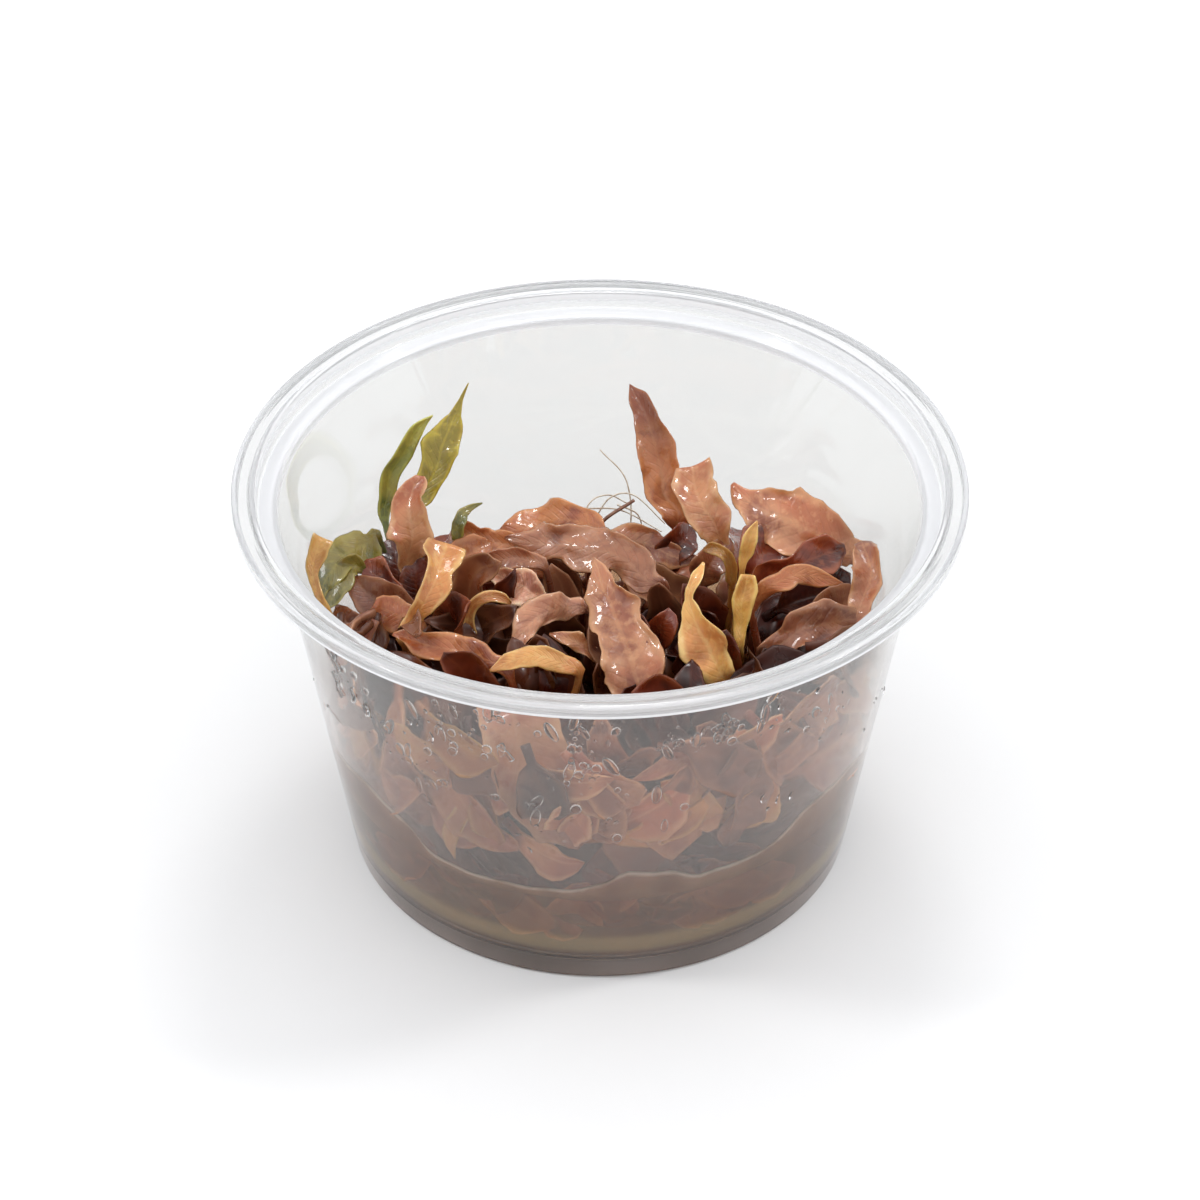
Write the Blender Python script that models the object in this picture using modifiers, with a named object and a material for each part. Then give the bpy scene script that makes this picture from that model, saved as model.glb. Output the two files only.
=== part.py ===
"""A round plastic cup of tissue-cultured cryptocoryne: cup, gel, crowns, leaves and roots.

Metres, +Z up. The origin is the centre of the foot ring's underside. The front of the cup
is at -Y.
"""

import math
import random

import bmesh
import bpy
from mathutils import Vector
from mathutils.bvhtree import BVHTree

MM = 0.001

# Cup: the flange and its height drive the rest.
RIM_RADIUS = 50.5 * MM
CUP_HEIGHT = 60.0 * MM
WALL = 0.8 * MM
BASE_RADIUS = 36.1 * MM
NECK_RADIUS = 45.1 * MM
SEAT_DEPTH = 2.8 * MM
SEAT_STEP_RADIUS = RIM_RADIUS - 3.3 * MM
LIP_HEIGHT = 1.7 * MM
FOOT_HEIGHT = 3.0 * MM
FOOT_WIDTH = 1.5 * MM
CORNER = 0.5 * MM
CUP_STEPS = 40

# Gel, and the crowns that stand in it.
GAP = 0.3 * MM
GEL_LEVEL = 15.0 * MM
MENISCUS = 3.5 * MM
MENISCUS_WIDTH = 4.0 * MM
MENISCUS_RINGS = 3
CROWN_RADIUS = 2.6 * MM
CROWN_BOTTOM = 8.5 * MM
CROWN_TOP = 25.0 * MM
CROWN_STEPS = 8

# Leaves leave their crown in tiers, one above the other, so that petioles don't cross.
TIER_HEIGHT = 1.7 * MM
TIERS = 5
PETIOLE_THICKNESS = 1.1 * MM
PETIOLE_WIDTH = 1.5 * MM
TIP_SHARE = 0.4
BLADE_THICKNESS = 0.4 * MM
BLADE_BLUNTNESS = 1.5
RUFFLE_LAG = 1.3
SHORT_LEAF_ROWS = 8
LONG_LEAF_ROWS = 10

# A leaf that touches another is moved in small steps until it is clear.
CLEARANCE = 0.4 * MM
MOVE_STEP = 0.5 * MM
LONGEST_MOVE = 6.0 * MM

# Small leaves that are part of a crown: how many, and their least and greatest sizes.
MOST_BASAL = 8
BASAL_TRIES = 400
BASAL_RISE = (math.radians(8), math.radians(60))
BASAL_LENGTH = (7 * MM, 17 * MM)
BASAL_LEVEL = (0.4, 0.85)
BASAL_WIDTH = (3.5 * MM, 7 * MM)
BASAL_SAG = 0.15
BASAL_ROWS = 3
BASAL_SEED = 7

ROOT_RADIUS = 0.28 * MM
ROOT_POINTS = 10
CURVE_STEPS = 16

CROWNS = {
    "left": (-23, 3),
    "middle": (-2, 5),
    "right": (21, -1),
    "front_left": (-12, -20),
    "front_right": (12, -21),
}

FLOOR_TOP = FOOT_HEIGHT + WALL
TO_VIEWER = Vector((0.0, -0.79, 0.61))


def clear_scene():
    for obj in list(bpy.data.objects):
        bpy.data.objects.remove(obj, do_unlink=True)


def new_collection(name):
    collection = bpy.data.collections.new(name)
    bpy.context.scene.collection.children.link(collection)
    return collection


def material(name, colour, roughness, alpha=1.0):
    made = bpy.data.materials.new(name)
    made.use_nodes = True
    shader = made.node_tree.nodes["Principled BSDF"]
    shader.inputs["Base Color"].default_value = (*colour, 1.0)
    shader.inputs["Roughness"].default_value = roughness
    shader.inputs["Alpha"].default_value = alpha
    return made


def add_object(name, data, collection, surface):
    obj = bpy.data.objects.new(name, data)
    data.materials.append(surface)
    collection.objects.link(obj)
    return obj


def hide(cutter):
    cutter.hide_render = True
    cutter.display_type = "WIRE"


def turned(name, profile, steps, collection, surface):
    """A solid of revolution from (radius, height) points that run down its outer side."""
    mesh = bpy.data.meshes.new(name)
    points = [(radius, 0.0, height) for radius, height in profile]
    edges = [(i, i + 1) for i in range(len(points) - 1)]
    mesh.from_pydata(points, edges, [])
    obj = add_object(name, mesh, collection, surface)
    screw = obj.modifiers.new("Turn", "SCREW")
    screw.steps = steps
    screw.render_steps = steps
    screw.use_smooth_shade = True
    screw.use_merge_vertices = True
    screw.merge_threshold = 0.00001
    return obj


def outer_radius(height):
    """The cup's outer wall radius, which grows evenly from the base to the neck."""
    share = height / (CUP_HEIGHT - SEAT_DEPTH)
    return BASE_RADIUS + (NECK_RADIUS - BASE_RADIUS) * share


def inner_radius(height):
    return outer_radius(height) - WALL


def cup_profile():
    seat = CUP_HEIGHT - SEAT_DEPTH
    step_outside = SEAT_STEP_RADIUS + WALL
    foot_inside = BASE_RADIUS - FOOT_WIDTH
    inside = [
        (0.0, FLOOR_TOP),
        (inner_radius(FLOOR_TOP) - 2 * CORNER, FLOOR_TOP),
        (inner_radius(FLOOR_TOP + 2 * CORNER), FLOOR_TOP + 2 * CORNER),
        (inner_radius(seat), seat),
        (SEAT_STEP_RADIUS - CORNER / 2, seat),
        (SEAT_STEP_RADIUS, CUP_HEIGHT),
    ]
    flange = [
        (RIM_RADIUS - CORNER, CUP_HEIGHT),
        (RIM_RADIUS, CUP_HEIGHT - CORNER),
        (RIM_RADIUS, CUP_HEIGHT - LIP_HEIGHT),
        (RIM_RADIUS - WALL, CUP_HEIGHT - LIP_HEIGHT),
        (RIM_RADIUS - WALL, CUP_HEIGHT - WALL),
        (step_outside, CUP_HEIGHT - WALL),
    ]
    outside = [
        (step_outside - CORNER / 2, seat - WALL),
        (outer_radius(seat - WALL), seat - WALL),
        (outer_radius(2 * CORNER), 2 * CORNER),
        (BASE_RADIUS - CORNER / 2, 0.0),
        (foot_inside, 0.0),
        (foot_inside, FOOT_HEIGHT),
        (0.0, FOOT_HEIGHT),
    ]
    return inside + flange + outside


def gel_edge():
    """The radius of the gel's upper edge, where it meets the wall."""
    return inner_radius(GEL_LEVEL + MENISCUS) - GAP


def gel_height(reach):
    """The gel's surface: level, and climbing to the wall over its last few millimetres."""
    climb = 1.0 - (gel_edge() - reach) / MENISCUS_WIDTH
    return GEL_LEVEL + MENISCUS * min(1.0, max(0.0, climb)) ** 2


def gel_profile():
    bottom = FLOOR_TOP + GAP
    foot_radius = inner_radius(FLOOR_TOP) - 2 * CORNER - GAP
    above_corner = bottom + 2 * CORNER
    surface = [(0.0, GEL_LEVEL)]
    for ring in range(MENISCUS_RINGS + 1):
        reach = gel_edge() - MENISCUS_WIDTH * (1 - ring / MENISCUS_RINGS)
        surface.append((reach, gel_height(reach)))
    return surface + [
        (inner_radius(above_corner) - 1.5 * GAP, above_corner),
        (foot_radius, bottom),
        (0.0, bottom),
    ]


def crown_profile(radius, bottom, top):
    """A short rhizome: blunt at the top and tapering into the gel."""
    height = top - bottom
    return [
        (0.0, top),
        (0.6 * radius, top - 0.04 * height),
        (radius, top - 0.2 * height),
        (0.95 * radius, top - 0.5 * height),
        (0.6 * radius, bottom + 0.1 * height),
        (0.0, bottom),
    ]


def add_crown(side, collection, surface):
    profile = crown_profile(CROWN_RADIUS, CROWN_BOTTOM, CROWN_TOP)
    crown = turned("crown_" + side, profile, CROWN_STEPS, collection, surface)
    x, y = CROWNS[side]
    crown.location = (x * MM, y * MM, 0.0)
    return crown


def cut_pocket(gel, side, cutters, surface):
    """The hole that a crown fills in the gel, one gap wider than the crown."""
    profile = crown_profile(CROWN_RADIUS + GAP, CROWN_BOTTOM - GAP, CROWN_TOP)
    pocket = turned("pocket_" + side, profile, CROWN_STEPS, cutters, surface)
    x, y = CROWNS[side]
    pocket.location = (x * MM, y * MM, 0.0)
    hide(pocket)
    cut = gel.modifiers.new("Pocket " + side, "BOOLEAN")
    cut.operation = "DIFFERENCE"
    cut.object = pocket


def smooth_route(points, count):
    """Evenly spaced points on a smooth curve through the given ones."""
    ends = [2 * points[0] - points[1], *points, 2 * points[-1] - points[-2]]
    dense = []
    for i in range(1, len(ends) - 2):
        before, start, end, after = ends[i - 1 : i + 3]
        for step in range(CURVE_STEPS):
            t = step / CURVE_STEPS
            dense.append(
                start
                + 0.5 * t * (end - before)
                + t * t * (before - 2.5 * start + 2 * end - 0.5 * after)
                + 0.5 * t**3 * (3 * start - before - 3 * end + after)
            )
    dense.append(points[-1])
    lengths = [0.0]
    for start, end in zip(dense, dense[1:]):
        lengths.append(lengths[-1] + (end - start).length)
    route = []
    span = 0
    for i in range(count):
        wanted = lengths[-1] * i / (count - 1)
        while span < len(dense) - 2 and lengths[span + 1] < wanted:
            span += 1
        share = (wanted - lengths[span]) / (lengths[span + 1] - lengths[span])
        route.append(dense[span].lerp(dense[span + 1], share))
    return route


def leaf(
    side, blade, width, face, turn=None, fold=20, ruffle=0.4, waves=2.5, widest=0.45, petiole=0.35,
    outline=None,
):
    """The facts of one leaf.

    side names its crown, and blade holds the blade's middle line from its base to its tip.
    face is where the upper side looks at the base, and turn where it looks at the tip.
    fold is the slope of each half in degrees, ruffle the height of the waves on its margins,
    widest the place of the greatest width, and petiole the petiole's share of the length.
    An outline, as (share of the blade, half-width against the widest), replaces widest, and
    the petiole then ends at the blade's first point.
    """
    return {
        "crown": side,
        "blade": [Vector(point) * MM for point in blade],
        "width": width * MM,
        "face": Vector(face).normalized(),
        "turn": Vector(turn or face).normalized(),
        "fold": math.radians(fold),
        "ruffle": ruffle * MM,
        "waves": waves,
        "widest": widest,
        "petiole": petiole,
        "outline": outline,
    }


def route_from_crown(facts, tier):
    """The leaf's middle line: from its place on the crown's side to the blade's tip."""
    x, y = CROWNS[facts["crown"]]
    crown = Vector((x * MM, y * MM, CROWN_TOP - MM - tier * TIER_HEIGHT))
    outward = (facts["blade"][0] - crown).to_2d().normalized()
    start = crown + Vector((*outward * (CROWN_RADIUS + PETIOLE_THICKNESS), 0.0))
    return [start, *facts["blade"]]


def route_length(points):
    return sum((end - start).length for start, end in zip(points, points[1:]))


def set_route(facts, tier):
    """Adds the leaf's route, and where it has an outline the petiole's share of it."""
    facts["route"] = route_from_crown(facts, tier)
    if facts["outline"]:
        facts["petiole"] = route_length(facts["route"][:2]) / route_length(facts["route"])


def blade_share(t, widest):
    """Half-width at share t of the blade, against the widest: pointed at both ends."""
    rise = BLADE_BLUNTNESS * widest
    fall = BLADE_BLUNTNESS * (1 - widest)
    peak = widest**rise * (1 - widest) ** fall
    return t**rise * (1 - t) ** fall / peak


def outline_share(t, outline):
    """Half-width at share t of the blade, against the widest, read from an outline."""
    for (start, low), (end, high) in zip([(0.0, 0.0), *outline], outline):
        if t <= end:
            return low + (high - low) * max(0.0, t - start) / (end - start)
    return outline[-1][1]


def leaf_share(facts, t):
    if facts["outline"]:
        return outline_share(t, facts["outline"])
    return blade_share(t, facts["widest"])


def leaf_sheet(facts, rows, columns):
    """A leaf's middle surface as a bmesh grid, and the corners that are petiole."""
    route = smooth_route(facts["route"], rows + 1)
    sheet = bmesh.new()
    bmesh.ops.create_grid(sheet, x_segments=rows, y_segments=columns, size=1.0)
    petiole = []
    for vert in sheet.verts:
        row = round((vert.co.x + 1) / 2 * rows)
        across = vert.co.y
        s = row / rows
        t = max(0.0, (s - facts["petiole"]) / (1 - facts["petiole"]))
        ahead = route[min(row + 1, rows)] - route[max(row - 1, 0)]
        sideways = ahead.cross(facts["face"].lerp(facts["turn"], t)).normalized()
        normal = sideways.cross(ahead).normalized()
        share = leaf_share(facts, t)
        narrow = PETIOLE_WIDTH / 2 * (1 - s + TIP_SHARE * s)
        half = max(facts["width"] / 2 * share, narrow)
        fold = facts["fold"] * share
        turns = facts["waves"] * t * 2 * math.pi + (RUFFLE_LAG if across > 0 else 0.0)
        wave = math.sin(turns) * facts["ruffle"] * share
        lift = abs(across) * half * math.sin(fold) + across * across * wave
        vert.co = route[row] + sideways * across * half * math.cos(fold) + normal * lift
        if t == 0.0:
            petiole.append(vert.index)
    return sheet, petiole


def set_thickness(obj, extra=0.0):
    """Thick along the petiole and thin across the blade."""
    solidify = obj.modifiers["Thickness"]
    solidify.thickness = PETIOLE_THICKNESS + extra
    solidify.thickness_vertex_group = (BLADE_THICKNESS + extra) / solidify.thickness


def leaf_object(name, facts, rows, collection, surface):
    sheet, petiole = leaf_sheet(facts, rows, 2)
    mesh = bpy.data.meshes.new(name)
    sheet.to_mesh(mesh)
    sheet.free()
    mesh.shade_smooth()
    obj = add_object(name, mesh, collection, surface)
    thick = obj.vertex_groups.new(name="petiole")
    thick.add(petiole, 1.0, "REPLACE")
    solidify = obj.modifiers.new("Thickness", "SOLIDIFY")
    solidify.offset = 0.0
    solidify.vertex_group = thick.name
    set_thickness(obj)
    return obj


def solid_of(obj):
    """The corners and faces of an object's evaluated mesh, in world space."""
    bpy.context.view_layer.update()
    evaluated = obj.evaluated_get(bpy.context.evaluated_depsgraph_get())
    mesh = evaluated.to_mesh()
    corners = [evaluated.matrix_world @ vert.co for vert in mesh.vertices]
    faces = [tuple(face.vertices) for face in mesh.polygons]
    evaluated.to_mesh_clear()
    return corners, faces


def tree_of(obj):
    return BVHTree.FromPolygons(*solid_of(obj))


def swollen_solid(obj):
    """A leaf's solid with one gap more on each side."""
    set_thickness(obj, extra=2 * GAP)
    swollen = solid_of(obj)
    set_thickness(obj)
    return swollen


def moves():
    """Moves to try, nearest first: along the view, then up, down, sideways and aslant."""
    ways = [TO_VIEWER, -TO_VIEWER]
    for way in ((0, 0, 1), (0, 0, -1), (1, 0, 0), (-1, 0, 0), (0, 1, 0), (0, -1, 0)):
        ways.append(Vector(way))
    for x in (-1, 1):
        for y in (-1, 1):
            for z in (1, -1):
                ways.append(Vector((x, y, z)).normalized())
    yield Vector((0, 0, 0))
    for i in range(1, round(LONGEST_MOVE / MOVE_STEP) + 1):
        for way in ways:
            yield way * MOVE_STEP * i


def inside_cup(corners):
    """Whether all corners are clear of the wall and of the gel."""
    for corner in corners:
        reach = math.hypot(corner.x, corner.y)
        lowest = gel_height(reach) + CLEARANCE
        if corner.z < lowest or reach > inner_radius(corner.z) - CLEARANCE:
            return False
    return True


def settle(obj, placed):
    """Moves a leaf to the nearest place where it touches nothing that is placed already."""
    corners, faces = swollen_solid(obj)
    for move in moves():
        moved = [corner + move for corner in corners]
        if not inside_cup(moved):
            continue
        tree = BVHTree.FromPolygons(moved, faces)
        if not any(tree.overlap(other) for other in placed):
            obj.location = move
            return
    raise ValueError(f"{obj.name} has no free place")


# Points are in millimetres and widths too. The order is the order of settling.
FRONT = (0, -1, 0.4)
LEAVES = {
    # Left side.
    "green_sickle_leaf": leaf(
        "left",
        [(-31, 20, 36), (-31, 23, 40), (-30.5, 24, 43), (-28.5, 24, 47),
         (-26.5, 24, 51), (-24, 24, 53.5)],
        width=3.3, face=(0.25, -0.9, 0.3), fold=25, ruffle=0.1,
        outline=[(0.1, 0.6), (0.25, 0.9), (0.4, 1), (0.62, 1), (0.84, 0.7), (1, 0.05)]),
    "yellow_green_leaf": leaf(
        "left",
        [(-28.5, 15, 39), (-27.5, 18, 42), (-25.5, 20, 45), (-24.8, 21.5, 47),
         (-24, 23, 48.5), (-23, 25, 50.5), (-22, 26.5, 52.5), (-21, 27.5, 54.5)],
        width=5.8, face=(-0.15, -0.9, 0.4), fold=12, ruffle=0.3,
        outline=[(0.1, 0.5), (0.28, 0.62), (0.4, 0.74), (0.52, 1), (0.64, 0.77), (0.76, 0.31), (0.88, 0.11), (1, 0.03)]),
    "folded_pink_leaf": leaf(
        "left",
        [(-26, 7, 33), (-26.5, 8, 38.5), (-26, 9, 41.5), (-26, 10, 44.5),
         (-25.5, 12, 46.5), (-24.5, 14, 48.5)],
        width=7.6, face=(0.25, -0.9, 0.3), turn=(-0.3, -0.9, 0.4), fold=25, ruffle=0.5,
        outline=[(0.1, 0.3), (0.35, 0.5), (0.53, 0.88), (0.7, 1), (0.85, 0.67), (1, 0.17)]),
    "ragged_green_leaf": leaf(
        "left", [(-30, 11, 39), (-32, 9, 41.5), (-34.5, 5, 42), (-36.5, 0, 42.5), (-37.8, -4.5, 42)],
        width=5.7, face=(0.1, -0.75, 0.65), turn=(0.3, -0.6, 0.7), fold=-12, ruffle=0.5, waves=2,
        outline=[(0.1, 0.35), (0.25, 0.95), (0.5, 1), (0.75, 0.74), (1, 0.25)]),
    "ochre_leaf": leaf(
        "left", [(-37, -3, 37), (-39.5, -1, 42), (-39.5, 2, 44.5), (-38.5, 4, 46)],
        width=3.1, face=(0.2, -0.9, 0.4), fold=10, ruffle=0.2,
        outline=[(0.1, 0.3), (0.55, 0.4), (0.75, 0.9), (1, 1)]),
    "dark_red_left_leaf": leaf(
        "left", [(-27.5, 0, 33), (-30, 2, 37), (-32, 4, 39), (-34.5, 6.5, 40)],
        width=6.6, face=(0.1, -0.8, 0.6), fold=15, ruffle=0.5,
        outline=[(0.1, 0.6), (0.5, 1), (0.8, 0.8), (1, 0.25)]),
    "orange_brown_leaf": leaf(
        "left", [(-24, -6, 34), (-27, -4.5, 38), (-30, -3, 39), (-31.5, -3, 40)],
        width=5.0, face=(0.1, -0.8, 0.6), fold=-12, ruffle=0.4,
        outline=[(0.1, 0.5), (0.5, 0.94), (0.8, 1), (1, 0.37)]),
    "peach_leaf": leaf(
        "left",
        [(-26, -9, 37), (-24.5, -8, 41.5), (-23, -7, 44.5), (-21.5, -4, 46),
         (-21, -1, 46.7), (-20.5, 1, 47.7)],
        width=5.4, face=(0.1, -0.85, 0.5), fold=8, ruffle=0.3, waves=1.5,
        outline=[(0.1, 0.45), (0.33, 0.55), (0.52, 0.65), (0.72, 0.84), (0.88, 1), (1, 0.8)]),
    "dark_tip_leaf": leaf(
        "left", [(-22.5, 11, 38), (-22, 12, 41), (-21, 14, 41.5), (-19, 15, 42)],
        width=2.8, face=(0, -0.8, 0.6), fold=20, ruffle=0.2,
        outline=[(0.1, 0.8), (0.45, 0.78), (0.75, 0.39), (1, 0.07)]),
    # Middle.
    "arched_leaf": leaf(
        "middle",
        [(1, 10, 38), (-1.5, 12, 42), (-4, 13, 43), (-7.5, 14, 42),
         (-11, 15, 40), (-14.5, 15.5, 38)],
        width=5.6, face=(0.1, -0.75, 0.65), turn=(-0.2, -0.7, 0.7), fold=-15, ruffle=0.4,
        outline=[(0.1, 0.5), (0.25, 0.95), (0.5, 1), (0.75, 0.9), (1, 0.27)]),
    "orange_back_leaf": leaf(
        "middle", [(-7, 11, 34), (-11, 13, 38), (-15, 14, 38.5), (-18.5, 15, 38.8), (-21, 16, 37.5)],
        width=5.0, face=(0, -0.75, 0.65), fold=12, ruffle=0.6,
        outline=[(0.1, 0.67), (0.4, 1), (0.65, 0.93), (0.85, 0.74), (1, 0.2)]),
    "grey_band_leaf": leaf(
        "middle", [(-7.5, 7, 38), (-10.5, 8, 39.5), (-14.5, 8, 39.5), (-17.5, 9, 38)],
        width=3.4, face=(0, -0.7, 0.7), fold=12, ruffle=0.3,
        outline=[(0.1, 0.6), (0.4, 1), (0.7, 0.91), (1, 0.27)]),
    "grey_pink_leaf": leaf(
        "middle", [(-6, 2, 34), (-10, 2, 38.5), (-13, 4, 38.8), (-15.5, 5.5, 39.5)],
        width=5.0, face=(-0.1, -0.75, 0.65), fold=10, ruffle=0.4,
        outline=[(0.1, 0.5), (0.55, 1), (0.82, 0.94), (1, 0.31)]),
    "hooked_tan_leaf": leaf(
        "middle",
        [(-16, -5, 32), (-18.5, -4, 37), (-18, -3, 40), (-16, -2.5, 41.5),
         (-14, -2, 41), (-12.5, -2, 40)],
        width=2.2, face=(0.2, -0.8, 0.6), fold=15, ruffle=0.15,
        outline=[(0.1, 0.8), (0.4, 1), (0.6, 0.95), (0.75, 0.95), (0.9, 0.8), (1, 0.25)]),
    "curled_pink_leaf": leaf(
        "middle",
        [(-1.5, -3, 38.5), (-4.5, -4, 40.5), (-8, -6, 40.5), (-10.5, -8, 39.5),
         (-11.2, -10, 37.5)],
        width=5.2, face=(0, -0.75, 0.65), turn=(-0.3, -0.75, 0.55), fold=-15, ruffle=0.5,
        outline=[(0.1, 0.5), (0.3, 0.8), (0.58, 1), (0.82, 0.76), (1, 0.18)]),
    "wavy_pink_leaf": leaf(
        "middle", [(1, -11, 35), (-2.5, -11, 39), (-5, -10, 40), (-7.3, -9, 40)],
        width=3.2, face=(0, -0.6, 0.8), fold=15, ruffle=0.7, waves=3,
        outline=[(0.1, 0.5), (0.6, 1), (0.82, 0.7), (1, 0.1)]),
    "mauve_leaf": leaf(
        "middle",
        [(9, 4, 36), (6, 5, 39.2), (2, 7, 41.2), (-3, 9, 41.2), (-8, 11, 40.5),
         (-13.5, 13, 39.8)],
        width=6.6, face=(0, -0.75, 0.65), turn=(-0.1, -0.7, 0.7), fold=-14, ruffle=0.6, waves=3,
        outline=[(0.1, 0.5), (0.2, 0.85), (0.38, 1), (0.58, 1), (0.8, 0.8), (1, 0.06)]),
    "tan_pink_leaf": leaf(
        "middle", [(-0.5, 12, 37.5), (3.5, 12, 39.5), (7.5, 12, 39), (11.5, 11, 38), (15, 11, 37.3)],
        width=5.6, face=(0.1, -0.75, 0.65), fold=-12, ruffle=0.6, waves=3,
        outline=[(0.1, 0.5), (0.3, 0.9), (0.55, 1), (0.8, 0.6), (1, 0.06)]),
    "tall_brown_leaf": leaf(
        "middle",
        [(10.5, 14.5, 37), (9, 17, 42.5), (8.5, 19, 45.5), (7.5, 20.5, 48.5),
         (6.5, 23, 51), (5, 26, 52.7), (4, 28, 53.7)],
        width=6.2, face=(-0.1, -0.9, 0.4), fold=22, ruffle=0.3,
        outline=[(0.1, 0.95), (0.33, 0.95), (0.47, 1), (0.61, 0.92), (0.75, 0.79), (0.9, 0.42), (1, 0.03)]),
    # Right side.
    "light_pink_leaf": leaf(
        "right", [(18.5, 8, 38), (17, 9, 42.5), (15, 10, 46), (14, 13, 47.7), (13, 15.5, 49.5)],
        width=6.8, face=(-0.1, -0.85, 0.5), turn=(0.1, -0.8, 0.6), fold=12, ruffle=0.5, waves=3,
        outline=[(0.1, 0.2), (0.32, 0.6), (0.57, 0.91), (0.82, 1), (1, 0.7)]),
    "big_curling_leaf": leaf(
        "right",
        [(37, 7, 37), (34, 8, 41.5), (30, 8, 44.5), (26, 9, 46), (22, 12, 46.3),
         (19, 15.5, 47.7)],
        width=9.0, face=(0.05, -0.8, 0.6), turn=(0, -0.75, 0.65), fold=-16, ruffle=0.7, waves=2.5,
        outline=[(0.1, 0.5), (0.27, 0.8), (0.45, 0.93), (0.62, 1), (0.82, 0.75), (1, 0.08)]),
    "yellow_leaf": leaf(
        "right", [(19.5, -2, 42), (20, -1.5, 45), (20.5, -1, 47.5), (21.5, 0, 49.7)],
        width=2.6, face=(0.1, -0.9, 0.4), fold=22, ruffle=0.1,
        outline=[(0.15, 0.4), (0.45, 0.87), (0.7, 1), (1, 0.08)]),
    "olive_arc_leaf": leaf(
        "right", [(18.5, -1, 40), (18, -1, 44.5), (16.5, -1, 46.5), (14.5, 1, 45)],
        width=2.2, face=(0, -0.7, 0.7), fold=20, ruffle=0.1,
        outline=[(0.1, 0.73), (0.5, 1), (0.75, 0.9), (1, 0.27)]),
    "twisted_tan_leaf": leaf(
        "right",
        [(17.5, -14, 33.5), (15, -13, 39.5), (13.5, -11, 42.5), (12.5, -9, 45),
         (13, -8, 47), (14.5, -6, 48.7)],
        width=6.8, face=(0.1, -0.85, 0.5), turn=(-0.5, -0.8, 0.4), fold=12, ruffle=0.4,
        outline=[(0.1, 0.6), (0.38, 1), (0.56, 0.58), (0.7, 0.2), (0.84, 0.36), (1, 0.06)]),
    "ochre_spoon_leaf": leaf(
        "right", [(19.5, -9, 36), (19.5, -8, 40.5), (19.5, -7, 43.5), (20, -6.3, 45.2), (20.2, -6, 47.2)],
        width=3.8, face=(0, -0.9, 0.4), fold=20, ruffle=0.1,
        outline=[(0.1, 0.42), (0.4, 0.58), (0.67, 0.92), (0.84, 1), (1, 0.6)]),
    "ribbed_dark_leaf": leaf(
        "right", [(19.5, 1.5, 35.5), (23.5, 2, 40), (28, 3, 42.7), (32.5, 4, 43.7), (35.5, 5, 44)],
        width=5.4, face=(0.1, -0.8, 0.6), fold=15, ruffle=0.5, waves=2.5,
        outline=[(0.1, 0.5), (0.38, 0.94), (0.62, 1), (0.85, 0.87), (1, 0.25)]),
    "orange_arc_leaf": leaf(
        "right", [(21.5, -1, 36), (23, -1, 41), (26.5, 0, 42.7), (30.5, 1, 41.7), (34, 1, 40.5)],
        width=3.0, face=(0, -0.8, 0.6), fold=-20, ruffle=0.3,
        outline=[(0.1, 0.8), (0.35, 1), (0.58, 1), (0.8, 0.83), (1, 0.18)]),
    "dark_mauve_leaf": leaf(
        "right", [(20, -8, 34), (25, -8, 39), (29.5, -7, 40), (34.5, -6, 40)],
        width=6.4, face=(0, -0.75, 0.65), fold=12, ruffle=0.5,
        outline=[(0.1, 0.43), (0.45, 0.95), (0.72, 1), (1, 0.24)]),
    "right_wall_leaf": leaf(
        "right", [(34, -6, 37), (36.5, -3, 41), (37.3, 0, 43), (36.3, 5, 44.3)],
        width=5.2, face=(-0.3, -0.8, 0.5), turn=(-0.1, -0.8, 0.6), fold=18, ruffle=0.5,
        outline=[(0.1, 0.53), (0.45, 0.9), (0.7, 1), (1, 0.5)]),
    # Front, seen through the wall.
    "front_left_rim_leaf": leaf(
        "front_left",
        [(-12, -18, 38), (-16, -16, 41), (-20, -14, 40.7), (-24.5, -13, 40.7),
         (-28.5, -12, 41.7)],
        width=4.8, face=(0, -0.65, 0.75), fold=12, ruffle=0.5,
        outline=[(0.1, 0.5), (0.33, 0.86), (0.58, 1), (0.8, 0.73), (1, 0.1)]),
    "tan_arc_leaf": leaf(
        "front_left", [(-3, -17, 37.5), (-5.5, -17, 41), (-9, -17, 42.2), (-12.5, -18, 41.7), (-15, -19, 41)],
        width=3.4, face=(0, -0.55, 0.85), fold=-12, ruffle=0.3,
        outline=[(0.1, 0.56), (0.35, 0.89), (0.6, 1), (0.84, 0.78), (1, 0.15)]),
    "pale_wedge_leaf": leaf(
        "front_left", [(-12, -25, 37), (-12, -29, 43), (-10, -33, 38), (-6, -35.5, 31), (-3, -36, 24)],
        width=12.0, face=(0, 0.2, 1), turn=(0, -1, 0.1), fold=12, ruffle=0.6, widest=0.55, petiole=0.3),
    "pink_brown_leaf": leaf(
        "front_left", [(-20, -25, 20), (-24, -26.5, 23), (-27.5, -25, 28), (-30, -22, 33)],
        width=7.5, face=(-0.6, -0.8, 0.2), fold=10, ruffle=0.5, petiole=0.3),
    "yellow_strip_leaf": leaf(
        "left", [(-28, -21, 24), (-30, -22, 29), (-32, -20, 33), (-34, -17, 38)],
        width=4.0, face=(-0.8, -0.6, 0.2), fold=15, ruffle=0.3, petiole=0.5),
    "yellow_tip_leaf": leaf(
        "front_left", [(-15, -27, 27), (-18, -30, 25.5), (-19.5, -31, 22), (-19.5, -31.5, 18)],
        width=3.2, face=(-0.5, -0.8, 0.3), fold=15, ruffle=0.2, petiole=0.45),
    "peach_patch_leaf": leaf(
        "front_left", [(-14, -27, 31), (-18, -30, 33.5), (-23, -29, 36), (-27, -26, 38)],
        width=6.0, face=(-0.4, -0.9, 0.2), fold=10, ruffle=0.4),
    "front_centre_leaf": leaf(
        "front_right",
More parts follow.
